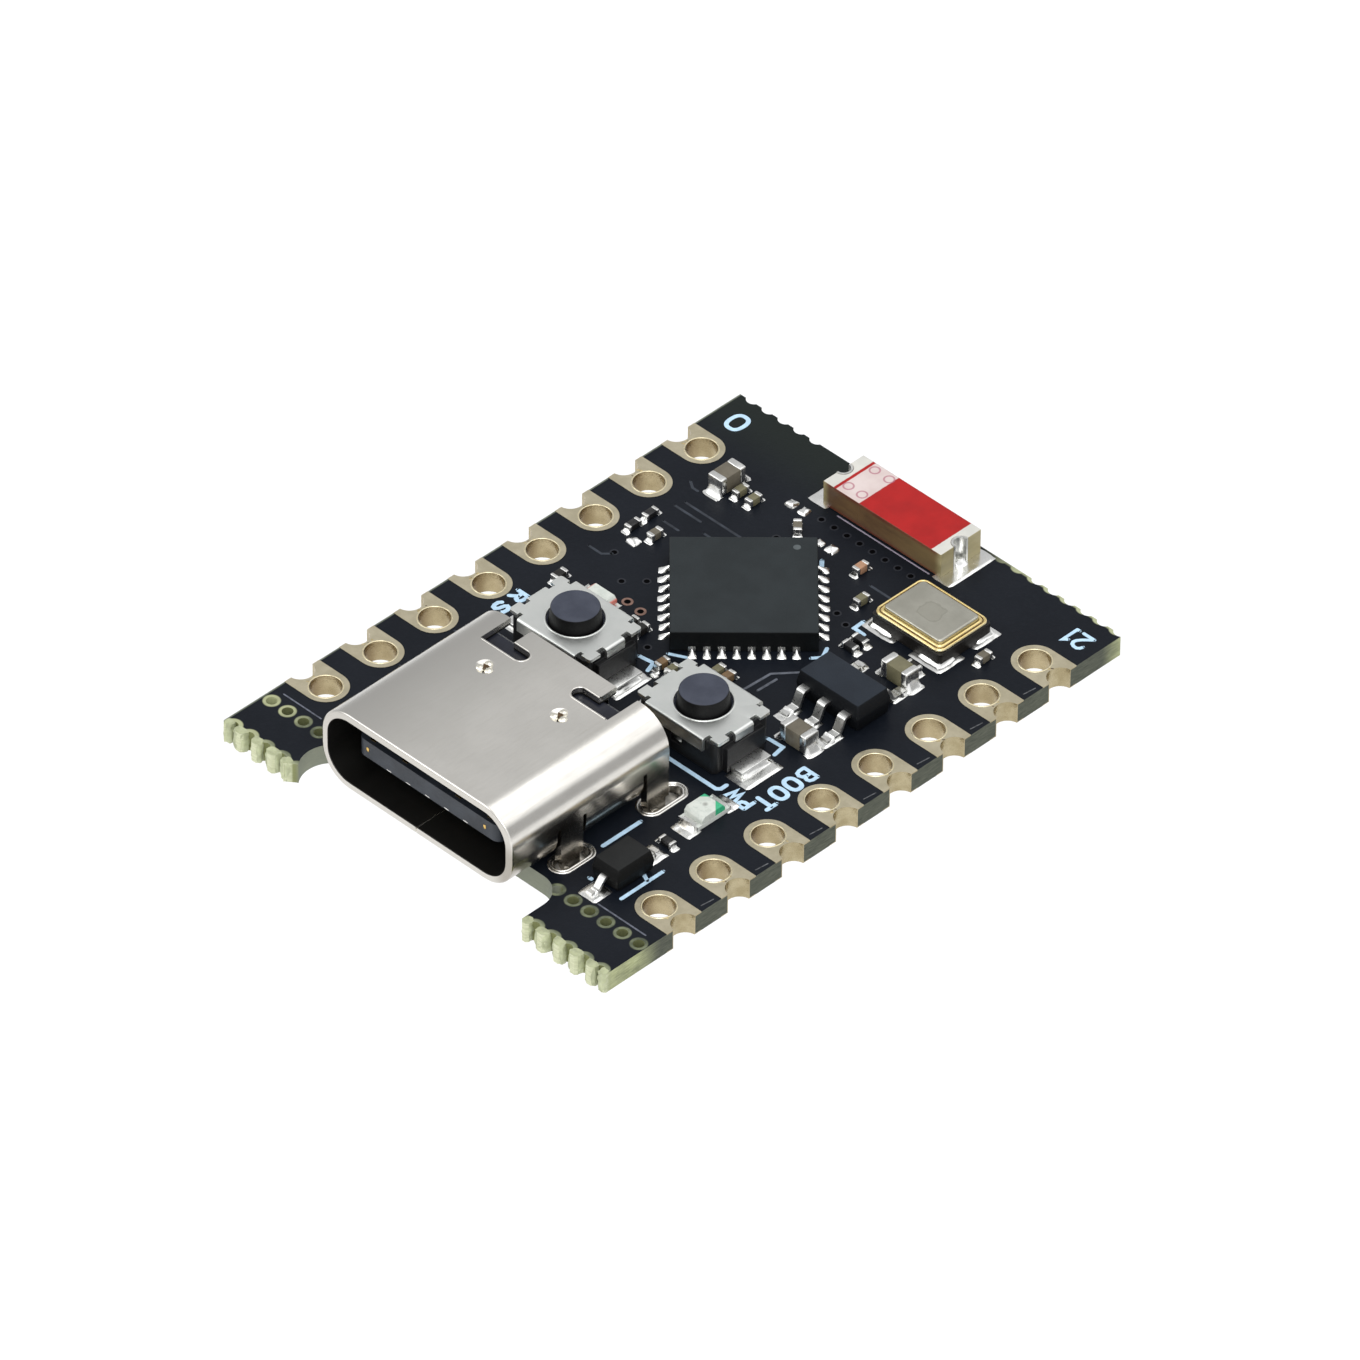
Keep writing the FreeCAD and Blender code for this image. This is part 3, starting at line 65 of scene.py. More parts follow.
class Tree:
    """A short way to write a node material in millimetre coordinates."""

    def __init__(self, name, metal=0.0, rough=0.5, **sockets):
        self.mat = bpy.data.materials.new(name)
        self.mat.use_nodes = True
        self.nt = self.mat.node_tree
        self.nt.nodes.clear()
        self.out = self.nt.nodes.new("ShaderNodeOutputMaterial")
        self.bsdf = self.nt.nodes.new("ShaderNodeBsdfPrincipled")
        self.nt.links.new(self.bsdf.outputs[0], self.out.inputs[0])
        self.bsdf.inputs["Metallic"].default_value = metal
        self.bsdf.inputs["Roughness"].default_value = rough
        for k, v in sockets.items():
            self.bsdf.inputs[k.replace("_", " ")].default_value = v
        tc = self.nt.nodes.new("ShaderNodeTexCoord")
        mp = self.nt.nodes.new("ShaderNodeMapping")
        mp.inputs["Scale"].default_value = (1000, 1000, 1000)
        self.nt.links.new(tc.outputs["Object"], mp.inputs[0])
        self.mm = mp.outputs[0]
        self.normal = tc.outputs["Normal"]
        self._xyz = None

    def link(self, a, b):
        self.nt.links.new(a, b)

    def xyz(self):
        if self._xyz is None:
            s = self.nt.nodes.new("ShaderNodeSeparateXYZ")
            self.link(self.mm, s.inputs[0])
            self._xyz = s.outputs
        return self._xyz

    def nz(self):
        s = self.nt.nodes.new("ShaderNodeSeparateXYZ")
        self.link(self.normal, s.inputs[0])
        return s.outputs

    def math(self, op, a, b=None, c=None, clamp=False):
        n = self.nt.nodes.new("ShaderNodeMath")
        n.operation = op
        n.use_clamp = clamp
        for i, v in enumerate((a, b, c)):
            if v is None:
                continue
            if isinstance(v, (int, float)):
                n.inputs[i].default_value = v
            else:
                self.link(v, n.inputs[i])
        return n.outputs[0]

    def ramp(self, value, a, b, lo=0.0, hi=1.0, smooth=True):
        n = self.nt.nodes.new("ShaderNodeMapRange")
        n.interpolation_type = "SMOOTHSTEP" if smooth else "LINEAR"
        n.clamp = True
        self.link(value, n.inputs["Value"])
        n.inputs["From Min"].default_value = a
        n.inputs["From Max"].default_value = b
        n.inputs["To Min"].default_value = lo
        n.inputs["To Max"].default_value = hi
        return n.outputs[0]

    def noise(self, scale, detail=3.0, rough=0.55, stretch=None, distort=0.0):
        n = self.nt.nodes.new("ShaderNodeTexNoise")
        n.inputs["Scale"].default_value = scale
        n.inputs["Detail"].default_value = detail
        n.inputs["Roughness"].default_value = rough
        n.inputs["Distortion"].default_value = distort
        src = self.mm
        if stretch:
            mp = self.nt.nodes.new("ShaderNodeMapping")
            mp.inputs["Scale"].default_value = stretch
            self.link(src, mp.inputs[0])
            src = mp.outputs[0]
        self.link(src, n.inputs["Vector"])
        return n.outputs["Fac"]

    def speck(self, scale):
        n = self.nt.nodes.new("ShaderNodeTexVoronoi")
        n.inputs["Scale"].default_value = scale
        self.link(self.mm, n.inputs["Vector"])
        return n.outputs["Distance"]

    def mix(self, fac, a, b, mode="MIX"):
        n = self.nt.nodes.new("ShaderNodeMix")
        n.data_type = "RGBA"
        n.blend_type = mode
        n.clamp_factor = True
        if isinstance(fac, (int, float)):
            n.inputs[0].default_value = fac
        else:
            self.link(fac, n.inputs[0])
        for i, v in ((6, a), (7, b)):
            if isinstance(v, tuple):
                n.inputs[i].default_value = v
            else:
                self.link(v, n.inputs[i])
        return n.outputs[2]

    def colour(self, c):
        if isinstance(c, tuple):
            self.bsdf.inputs["Base Color"].default_value = c
        else:
            self.link(c, self.bsdf.inputs["Base Color"])

    def roughness(self, v):
        self.link(v, self.bsdf.inputs["Roughness"])

    def metallic(self, v):
        self.link(v, self.bsdf.inputs["Metallic"])

    def bump(self, height, depth_mm, strength=1.0, after=None):
        n = self.nt.nodes.new("ShaderNodeBump")
        n.inputs["Strength"].default_value = strength
        n.inputs["Distance"].default_value = depth_mm * MM
        self.link(height, n.inputs["Height"])
        if after is not None:
            self.link(after, n.inputs["Normal"])
        self.link(n.outputs[0], self.bsdf.inputs["Normal"])
        return n.outputs[0]


def plain(name, colour, rough, metal=0.0, vary=0.12, scale=1.5, rvary=0.07, bump=0.0, bscale=20.0, stretch=None, **sockets):
    """A material with drifting tone, uneven gloss and a fine relief."""
    t = Tree(name, metal, rough, **sockets)
    n1 = t.noise(scale, 4.0)
    t.colour(t.mix(t.ramp(n1, 0.3, 0.7), shade(colour, 1 - vary), shade(colour, 1 + vary)))
    n2 = t.noise(bscale, 3.0, stretch=stretch)
    t.roughness(t.ramp(n2, 0.25, 0.75, max(rough - rvary, 0.02), min(rough + rvary, 1.0)))
    if bump:
        t.bump(n2, bump)
    return t


M = {}


def build_materials():
    # black mask over glass laminate: face, edge wall and the pale broken line
    t = Tree("board", 0.0, 0.42, Specular_IOR_Level=0.13)
    x, y, z = t.xyz()[0], t.xyz()[1], t.xyz()[2]
    up = t.math("ABSOLUTE", t.nz()[2])
    face = t.ramp(up, 0.6, 0.9)
    n = t.noise(0.35, 4.0)
    fine = t.noise(7.0, 4.0)
    mask = t.mix(t.ramp(n, 0.3, 0.7), lin(16, 20, 27), lin(21, 25, 32))
    mask = t.mix(t.ramp(fine, 0.45, 0.8, 0.0, 0.2), mask, lin(32, 36, 44))
    # greenish, thinner mask towards the antenna end
    far = t.math("MULTIPLY", t.ramp(y, 8.8, 11.6), t.ramp(x, 2.5, -3.0))
    mask = t.mix(t.math("MULTIPLY", far, 0.75), mask, lin(30, 36, 32))
    # pale rims round the snap-off holes: a row of 0.76 pitch on either side
    right_side = t.math("GREATER_THAN", x, 0.0)
    start = t.ramp(right_side, 0, 1, -8.6, 4.88, smooth=False)
    u = t.math("SUBTRACT", x, start)
    u = t.math("MODULO", t.math("ADD", u, 0.38 + 7.6), 0.76)
    u = t.math("SUBTRACT", u, 0.38)

    def rim(line, r):
        v = t.math("SUBTRACT", y, line)
        d = t.math("SQRT", t.math("ADD", t.math("MULTIPLY", u, u), t.math("MULTIPLY", v, v)))
        return t.ramp(d, r, r - 0.06)

    wob = t.noise(3.0, 2.0)
    inner = t.math("MULTIPLY", rim(-10.67, 0.335), t.ramp(wob, 0.2, 0.6, 0.72, 1.0))
    outer = t.math("MAXIMUM", rim(-12.47, 0.38), t.math("MULTIPLY", rim(12.07, 0.36), t.ramp(x, 2.5, 4.5)))
    side_in = t.math("MULTIPLY", t.ramp(t.math("ABSOLUTE", x), 4.4, 4.5), t.ramp(x, -5.6, -6.0, 1.0, 1.0))
    rims = t.math("MAXIMUM", t.math("MULTIPLY", inner, side_in), outer)
    tip = t.ramp(y, -12.38, -12.5)
    tip_back = t.math("MULTIPLY", t.ramp(y, 11.80, 11.90), t.ramp(x, 2.0, 5.5))
    rims = t.math("MAXIMUM", rims, t.math("MAXIMUM", tip, tip_back))
    whole = t.math("MULTIPLY", t.ramp(t.math("ABSOLUTE", t.math("ADD", x, 8.6)), 0.36, 0.33), t.ramp(t.math("ABSOLUTE", t.math("ADD", y, 10.67)), 0.36, 0.33))
    pale = t.mix(t.ramp(wob, 0.3, 0.7), lin(90, 96, 78), lin(120, 126, 100))
    pale = t.mix(t.ramp(x, -6.5, -8.2), pale, lin(168, 172, 134))
    pale = t.mix(t.ramp(y, -12.15, -12.5), pale, lin(172, 177, 144))
    pale = t.mix(t.ramp(y, 10.8, 11.4), pale, lin(172, 176, 140))
    top = t.mix(rims, mask, pale)
    # bare laminate along the left edge, where the mask stops short
    top = t.mix(t.math("MULTIPLY", t.ramp(x, -8.93, -8.95), t.ramp(wob, 0.2, 0.6, 0.55, 0.95)), top, lin(112, 118, 104))
    # edge wall: grey green with laid glass, yellow green near the ends
    lay = t.noise(1.0, 5.0, 0.7, stretch=(2.2, 2.2, 26.0))
    wall = t.mix(t.ramp(lay, 0.25, 0.75), lin(62, 66, 58), lin(96, 99, 86))
    end = t.math("MAXIMUM", t.ramp(y, -9.9, -11.2), t.ramp(y, 10.9, 11.8))
    yellow = t.mix(t.ramp(lay, 0.2, 0.8), lin(140, 146, 104), lin(190, 195, 152))
    wall = t.mix(t.math("MULTIPLY", end, t.ramp(t.noise(1.3, 3.0), 0.2, 0.7, 0.45, 1.0)), wall, yellow)
    cream = t.ramp(y, -12.25, -12.6)
    wall = t.mix(cream, wall, t.mix(t.ramp(lay, 0.3, 0.7), lin(182, 186, 150), lin(212, 215, 184)))
    # walls of the snap-off holes are darker inside: painted shade
    hole_in = t.math("MULTIPLY", rim(-10.67, 0.27), t.ramp(t.math("ABSOLUTE", x), 4.5, 4.6))
    wall = t.mix(t.math("MULTIPLY", hole_in, 0.9), wall, lin(110, 114, 76))
    wall = t.mix(whole, wall, lin(176, 180, 142))
    # painted shade: darker olive in the bite grooves of the front stubs
    scallop = t.math("MULTIPLY", rim(-12.47, 0.27), t.ramp(y, -12.52, -12.4))
    wall = t.mix(t.math("MULTIPLY", scallop, 0.85), wall, lin(118, 122, 78))
    gap = t.math("MULTIPLY", t.math("MULTIPLY", t.math("MULTIPLY", t.ramp(x, -6.4, -6.2), t.ramp(x, 4.95, 4.8)), t.ramp(y, -10.2, -10.6)), t.ramp(y, -12.4, -12.25))
    wall = t.mix(t.math("MULTIPLY", gap, 0.85), wall, lin(128, 132, 122))
    t.colour(t.mix(face, wall, top))
    t.roughness(t.math("ADD", t.ramp(face, 0, 1, 0.62, 0.34), t.ramp(fine, 0.3, 0.7, -0.04, 0.05)))
    relief = t.math("ADD", t.math("MULTIPLY", fine, t.ramp(face, 0, 1, 0.2, 1.0)), t.math("MULTIPLY", lay, t.ramp(face, 0, 1, 2.5, 0.0)))
    t.bump(relief, 0.006)
    M["board"] = t.mat

    # plated pads: pale gold on the faces, browner walls and barrels; painted shade darkens one side of each barrel
    t = Tree("gold_pads", 1.0, 0.36)
    up = t.math("ABSOLUTE", t.nz()[2])
    n = t.noise(2.2, 4.0)
    fine = t.noise(14.0, 4.0)
    face_c = t.mix(t.ramp(n, 0.3, 0.7), lin(196, 187, 160), lin(210, 201, 175))
    wall_c = t.mix(t.ramp(n, 0.3, 0.7), lin(160, 147, 114), lin(180, 168, 136))
    x, y = t.xyz()[0], t.xyz()[1]
    hx = t.math("SUBTRACT", t.math("ABSOLUTE", x), 7.845)
    hy = t.math("SUBTRACT", t.math("MODULO", t.math("ADD", y, 25.4), 2.54), 1.27)
    hd = t.math("SQRT", t.math("ADD", t.math("MULTIPLY", hx, hx), t.math("MULTIPLY", hy, hy)))
    in_hole = t.ramp(hd, 0.62, 0.59)
    drift = t.noise(1.3, 3.0, 0.5)
    barrel_shaded_c = t.mix(t.ramp(drift, 0.3, 0.7), lin(154, 139, 106), lin(180, 165, 131))
    side_x = t.math("MULTIPLY", hx, t.math("SIGN", x))
    # painted shade: each barrel darkens towards one side
    turn = t.math("ADD", side_x, hy)
    barrel_shaded_c = t.mix(t.ramp(turn, 0.1, -0.75, 0.0, 0.75), barrel_shaded_c, lin(104, 82, 52))
    wall_c = t.mix(in_hole, wall_c, barrel_shaded_c)
    t.colour(t.mix(t.ramp(up, 0.3, 0.9), wall_c, face_c))
    t.roughness(t.math("ADD", t.ramp(up, 0.3, 0.9, 0.24, 0.44), t.ramp(fine, 0.3, 0.7, -0.05, 0.06)))
    t.bump(t.math("ADD", fine, t.math("MULTIPLY", n, 2.0)), 0.006)
    M["gold_pads"] = t.mat

    # satin nickel of the port: drawn along Y, light scratches; painted shade in the mouth, to the upper left and on
    # faces turned to the front, and a painted reflection of the dark board low on the right flank
    t = Tree("port_metal", 1.0, 0.25)
    x, y, z = t.xyz()[0], t.xyz()[1], t.xyz()[2]
    n = t.noise(0.5, 4.0)
    grain = t.noise(9.0, 5.0, 0.7, stretch=(1.0, 0.12, 1.0))
    fine = t.noise(26.0, 3.0)
    c = t.mix(t.ramp(n, 0.3, 0.7), lin(232, 229, 222), lin(240, 237, 230))
    c = t.mix(t.ramp(grain, 0.4, 0.85, 0.0, 0.3), c, lin(212, 207, 198))
    qx = t.math("MAXIMUM", t.math("SUBTRACT", t.math("ABSOLUTE", t.math("ADD", x, 0.36)), 3.17), 0.0)
    qz = t.math("MAXIMUM", t.math("SUBTRACT", t.math("ABSOLUTE", t.math("SUBTRACT", z, 2.4)), 0.3), 0.0)
    d = t.math("SQRT", t.math("ADD", t.math("MULTIPLY", qx, qx), t.math("MULTIPLY", qz, qz)))
    # painted shade: the mouth of the port goes near black within
    inside = t.math("MULTIPLY", t.ramp(d, 1.13, 1.06), t.ramp(y, -11.99, -11.95))
    inside = t.math("MULTIPLY", inside, t.ramp(z, 0.86, 0.95))
    # painted shade: darker towards the left, on the upper part
    c = t.mix(t.math("MULTIPLY", t.ramp(x, 0.5, -4.8), t.ramp(z, 2.0, 3.9)), c, lin(198, 196, 190))
    # painted shade: faces turned to the front are a little darker
    c = t.mix(t.ramp(t.nz()[1], -0.5, -0.95, 0.0, 0.8), c, lin(198, 194, 186))
    # painted reflection: the right flank darkens lower down, standing for the black board it mirrors
    flank = t.math("MULTIPLY", t.ramp(z, 3.15, 2.35), t.ramp(x, 3.2, 3.8))
    c = t.mix(t.math("MULTIPLY", flank, 0.85), c, lin(164, 158, 148))
    c = t.mix(t.math("MULTIPLY", inside, 0.97), c, lin(34, 33, 31))
    t.colour(c)
    low_side = t.ramp(z, 3.3, 2.7, 0.0, 0.02)
    t.roughness(t.math("ADD", t.math("ADD", t.math("ADD", t.ramp(grain, 0.3, 0.7, 0.17, 0.23), low_side), t.ramp(fine, 0.3, 0.7, -0.02, 0.02)), t.math("MULTIPLY", inside, 0.3)))
    t.bump(t.math("ADD", grain, t.math("MULTIPLY", fine, 0.5)), 0.0004)
    M["port_metal"] = t.mat

    # button cover: fine satin
    t = Tree("key_metal", 1.0, 0.34)
    n = t.noise(0.9, 4.0)
    fine = t.noise(30.0, 4.0, 0.6)
    t.colour(t.mix(t.ramp(n, 0.3, 0.7), lin(226, 229, 225), lin(234, 236, 232)))
    t.roughness(t.ramp(fine, 0.3, 0.7, 0.30, 0.40))
    t.bump(fine, 0.0016)
    M["key_metal"] = t.mat

    M["solder"] = plain("solder", lin(244, 244, 241), 0.24, 1.0, vary=0.05, scale=3.0, rvary=0.05, bump=0.003, bscale=3.0).mat
    M["lead_tin"] = plain("lead_tin", lin(228, 228, 225), 0.3, 1.0, vary=0.07, scale=2.0, rvary=0.05, bump=0.0015, bscale=9.0).mat
    M["slot_tin"] = plain("slot_tin", lin(190, 187, 181), 0.24, 1.0, vary=0.1, scale=2.0, rvary=0.06, bump=0.002, bscale=8.0).mat
    # lighter copy of the tin: painted highlight on the slot beads and tongue bits
    M["slot_rim_highlight"] = plain("slot_rim_highlight", lin(236, 234, 229), 0.2, 1.0, vary=0.05, scale=2.0, rvary=0.05, bump=0.001, bscale=8.0).mat
    # darker copy of the solder: painted shade in the leg slots
    M["slot_solder"] = plain("slot_solder", lin(168, 166, 161), 0.34, 1.0, vary=0.15, scale=1.2, rvary=0.03, bump=0.0006, bscale=3.0).mat
    M["antenna_silver"] = plain("antenna_silver", lin(226, 226, 222), 0.36, 1.0, vary=0.12, scale=3.0, rvary=0.08, bump=0.005, bscale=6.0).mat
    M["contact_gold"] = plain("contact_gold", lin(222, 186, 112), 0.25, 1.0, vary=0.1, scale=3.0, bump=0.003).mat
    t = Tree("crystal_gold", 1.0, 0.26)
    n = t.noise(2.0, 4.0)
    fine = t.noise(10.0, 3.0)
    face_c = t.mix(t.ramp(n, 0.3, 0.7), lin(250, 222, 150), lin(252, 230, 166))
    side_sheen_c = t.mix(t.ramp(n, 0.3, 0.7), lin(246, 234, 190), lin(250, 240, 204))
    tilt = t.nz()[2]
    # painted highlight: tilted faces take a paler, whiter gold than the top
    c = t.mix(t.ramp(tilt, 0.45, 0.75), side_sheen_c, face_c)
    t.colour(c)
    t.roughness(t.ramp(fine, 0.3, 0.7, 0.26, 0.31))
    t.bump(fine, 0.0002)
    M["crystal_gold"] = t.mat
    M["port_plastic"] = plain("port_plastic", lin(22, 24, 32), 0.4, vary=0.16, scale=1.2, bump=0.004, bscale=18.0, Specular_IOR_Level=0.35).mat
    t = Tree("tongue_plastic", 0.0, 0.4, Specular_IOR_Level=0.35)
    y = t.xyz()[1]
    n = t.noise(1.2, 3.0)
    fine = t.noise(16.0, 3.0)
    front = t.mix(t.ramp(n, 0.3, 0.7), lin(38, 42, 48), lin(50, 55, 62))
    rear = t.mix(t.ramp(n, 0.3, 0.7), lin(22, 24, 34), lin(30, 33, 44))
    # painted shade: the tongue darkens further into the mouth, the front lighter
    t.colour(t.mix(t.ramp(y, -8.2, -7.6), front, rear))
    t.roughness(t.ramp(fine, 0.3, 0.7, 0.34, 0.46))
    t.bump(fine, 0.003)
    M["tongue_plastic"] = t.mat
    M["crystal_ceramic"] = plain("crystal_ceramic", lin(26, 24, 22), 0.4, vary=0.2, scale=2.0, bump=0.006, bscale=16.0, Specular_IOR_Level=0.3).mat
    M["key_black"] = plain("key_black", lin(24, 24, 25), 0.42, vary=0.2, scale=1.6, bump=0.004, bscale=14.0, Specular_IOR_Level=0.35).mat
    M["resistor_black"] = plain("resistor_black", lin(26, 26, 27), 0.3, vary=0.2, scale=4.0, bump=0.003).mat
    M["silk"] = plain("silk", lin(188, 218, 240), 0.62, vary=0.1, scale=3.5, bump=0.006, bscale=16.0, Specular_IOR_Level=0.2).mat
    M["scuff"] = plain("scuff", lin(96, 100, 110), 0.6, vary=0.35, scale=5.0, bump=0.004, Specular_IOR_Level=0.2).mat
    M["scuff_pale"] = plain("scuff_pale", lin(150, 142, 156), 0.6, vary=0.2, scale=5.0, bump=0.004, Specular_IOR_Level=0.2).mat
    M["scuff_dash"] = plain("scuff_dash", lin(88, 90, 92), 0.6, vary=0.5, scale=5.0, bump=0.004, Specular_IOR_Level=0.2).mat
    M["trace"] = plain("trace", lin(48, 53, 61), 0.36, vary=0.4, scale=1.6, bump=0.004, Specular_IOR_Level=0.3).mat
    # lighter copy of the trace: painted highlight
    M["trace_lit"] = plain("trace_lit", lin(84, 88, 96), 0.4, vary=0.45, scale=1.9, bump=0.004, Specular_IOR_Level=0.3).mat
    M["dot"] = plain("dot", lin(84, 90, 92), 0.5, vary=0.15, scale=4.0, bump=0.003, Specular_IOR_Level=0.2).mat
    M["via_copper"] = plain("via_copper", lin(132, 102, 90), 0.42, 0.3, vary=0.25, scale=5.0, bump=0.004).mat
    # near-black: painted shade of the via holes
    M["via_hole_shade"] = plain("via_hole_shade", lin(4, 4, 5), 0.6, vary=0.3, scale=5.0, bump=0.003, Specular_IOR_Level=0.02).mat
    M["via_mask"] = plain("via_mask", lin(30, 33, 40), 0.36, vary=0.2, scale=5.0, bump=0.003, Specular_IOR_Level=0.3).mat
    # lighter copy of the pad gold: painted highlight on the hole beads
    M["pad_rim_highlight"] = plain("pad_rim_highlight", lin(240, 228, 192), 0.3, 1.0, vary=0.06, scale=3.0, bump=0.003, bscale=9.0).mat
    M["burr"] = plain("burr", lin(196, 178, 134), 0.4, 0.8, vary=0.35, scale=6.0, bump=0.008, bscale=12.0).mat
    # painted shade of the groove in the crystal rim
    M["seal_groove_shade"] = plain("seal_groove_shade", lin(92, 66, 30), 0.45, 0.6, vary=0.2, scale=4.0, bump=0.001).mat
    M["burr_dark"] = plain("burr_dark", lin(84, 64, 38), 0.5, 0.3, vary=0.4, scale=6.0, bump=0.006).mat
    M["fray"] = plain("fray", lin(172, 177, 143), 0.55, vary=0.2, scale=2.4, bump=0.012, bscale=4.0, Specular_IOR_Level=0.3,
                      Subsurface_Weight=0.35, Subsurface_Radius=(0.0004, 0.0004, 0.0003)).mat
    M["light_base"] = plain("light_base", lin(208, 212, 206), 0.5, vary=0.06, scale=3.0, bump=0.004, Specular_IOR_Level=0.3).mat
    M["cap_grey"] = plain("cap_grey", lin(105, 99, 86), 0.45, vary=0.1, scale=3.0, bump=0.006, bscale=12.0, Specular_IOR_Level=0.3).mat
    M["cap_olive"] = plain("cap_olive", lin(112, 108, 84), 0.45, vary=0.1, scale=3.0, bump=0.006, bscale=12.0, Specular_IOR_Level=0.3).mat
    M["cap_tan"] = plain("cap_tan", lin(118, 95, 68), 0.45, vary=0.1, scale=3.0, bump=0.006, bscale=12.0, Specular_IOR_Level=0.3).mat

    M["cap_pink"] = plain("cap_pink", lin(172, 132, 104), 0.45, vary=0.1, scale=3.0, bump=0.006, bscale=12.0, Specular_IOR_Level=0.3).mat
    M["cap_dark"] = plain("cap_dark", lin(34, 33, 31), 0.45, vary=0.1, scale=3.0, bump=0.006, bscale=12.0, Specular_IOR_Level=0.3).mat
    M["weld"] = plain("weld", lin(240, 236, 222), 0.28, 1.0, vary=0.08, scale=4.0, rvary=0.08, bump=0.006, bscale=9.0).mat

    # moulded epoxy of the chip, regulator and diode; the sides are painted near black as painted shade
    for name, colour, spec in (("chip_black", lin(40, 45, 47), 0.18), ("reg_black", lin(36, 42, 50), 0.18), ("diode_black", lin(32, 33, 33), 0.18)):
        t = Tree(name, 0.0, 0.55, Specular_IOR_Level=spec)
        n = t.noise(0.8, 3.0)
        grit = t.noise(22.0, 5.0, 0.7)
        c = t.mix(t.ramp(n, 0.3, 0.7), shade(colour, 0.9), shade(colour, 1.12))
        c = t.mix(t.ramp(grit, 0.5, 0.8, 0.0, 0.5), c, shade(colour, 1.5))
        up = t.ramp(t.nz()[2], 0.3, 0.9)
        dark = t.mix(up, shade(colour, 0.16), c)
        t.colour(dark)
        t.roughness(t.ramp(grit, 0.3, 0.7, 0.5, 0.64))
        t.bump(grit, 0.008)
        M[name] = t.mat

    # plunger: soft matte top; the sides painted near black as painted shade
    t = Tree("key_cap", 0.0, 0.5, Specular_IOR_Level=0.24)
    n = t.noise(1.4, 3.0)
    grit = t.noise(26.0, 4.0)
    up = t.ramp(t.nz()[2], 0.45, 0.8)
    c = t.mix(t.ramp(n, 0.3, 0.7), lin(58, 62, 74), lin(68, 72, 84))
    t.colour(t.mix(up, lin(7, 7, 8), c))
    t.roughness(t.ramp(grit, 0.3, 0.7, 0.46, 0.58))
    t.bump(grit, 0.004)
    M["key_cap"] = t.mat

    # antenna: printed top, tan glassy sides
    t = Tree("antenna_ceramic", 0.0, 0.36, Specular_IOR_Level=0.35)
    x, y = t.xyz()[0], t.xyz()[1]
    f = t.math("DIVIDE", t.math("ADD", x, 2.90), 5.54)
    edge = t.noise(5.0, 2.0)
    f = t.math("ADD", f, t.math("MULTIPLY", t.math("SUBTRACT", edge, 0.5), 0.006))
    n = t.noise(1.0, 3.0)
    white = t.mix(t.ramp(n, 0.3, 0.7), lin(202, 201, 194), lin(216, 214, 206))
    pink = t.mix(t.ramp(n, 0.3, 0.7), lin(206, 188, 184), lin(218, 204, 200))
    red = t.mix(t.ramp(n, 0.3, 0.7), lin(158, 9, 9), lin(174, 16, 14))
    line = t.math("MULTIPLY", t.ramp(f, 0.084, 0.090), t.ramp(f, 0.112, 0.106))
    field = t.math("MULTIPLY", t.ramp(f, 0.302, 0.308), t.ramp(f, 0.922, 0.916))
    c = t.mix(t.ramp(f, 0.106, 0.112), white, pink)
    c = t.mix(t.ramp(f, 0.306, 0.312), c, white)
    c = t.mix(line, c, red)
    c = t.mix(field, c, red)

    def ring(cx, cy, r, w):
        dx = t.math("SUBTRACT", x, cx)
        dy = t.math("SUBTRACT", y, cy)
        d = t.math("SQRT", t.math("ADD", t.math("MULTIPLY", dx, dx), t.math("MULTIPLY", dy, dy)))
        e = t.math("ABSOLUTE", t.math("SUBTRACT", d, r))
        return t.ramp(e, w, w * 0.4)

    rings = None
    for cx, cy in ((-2.06, 11.36), (-1.38, 11.36), (-2.1, 10.13), (-1.46, 10.13)):
        r = ring(cx, cy, 0.18, 0.045)
        rings = r if rings is None else t.math("MAXIMUM", rings, r)
    c = t.mix(t.math("MULTIPLY", rings, 0.7), c, lin(168, 92, 112))
    side_n = t.noise(1.2, 4.0, 0.6, stretch=(0.5, 0.5, 1.6))
    side = t.mix(t.ramp(side_n, 0.3, 0.7), lin(84, 62, 44), lin(108, 84, 56))
    side = t.mix(t.ramp(f, 0.45, 0.95, 0.0, 0.5), side, lin(132, 116, 78))
    edges = t.math("ABSOLUTE", t.math("SUBTRACT", t.xyz()[2], 1.32))
    side = t.mix(t.ramp(edges, 0.3, 0.5, 0.0, 0.6), side, lin(104, 30, 24))
    ends = t.ramp(t.math("ABSOLUTE", t.math("SUBTRACT", f, 0.5)), 0.44, 0.5)
    side = t.mix(ends, side, t.mix(t.ramp(side_n, 0.25, 0.75), lin(142, 132, 94), lin(168, 157, 118)))
    up = t.ramp(t.nz()[2], 0.6, 0.9)
    t.colour(t.mix(up, side, c))
    t.roughness(t.ramp(side_n, 0.3, 0.7, 0.3, 0.42))
    t.bump(t.math("ADD", side_n, t.math("MULTIPLY", field, 0.8)), 0.006)
    M["antenna_ceramic"] = t.mat

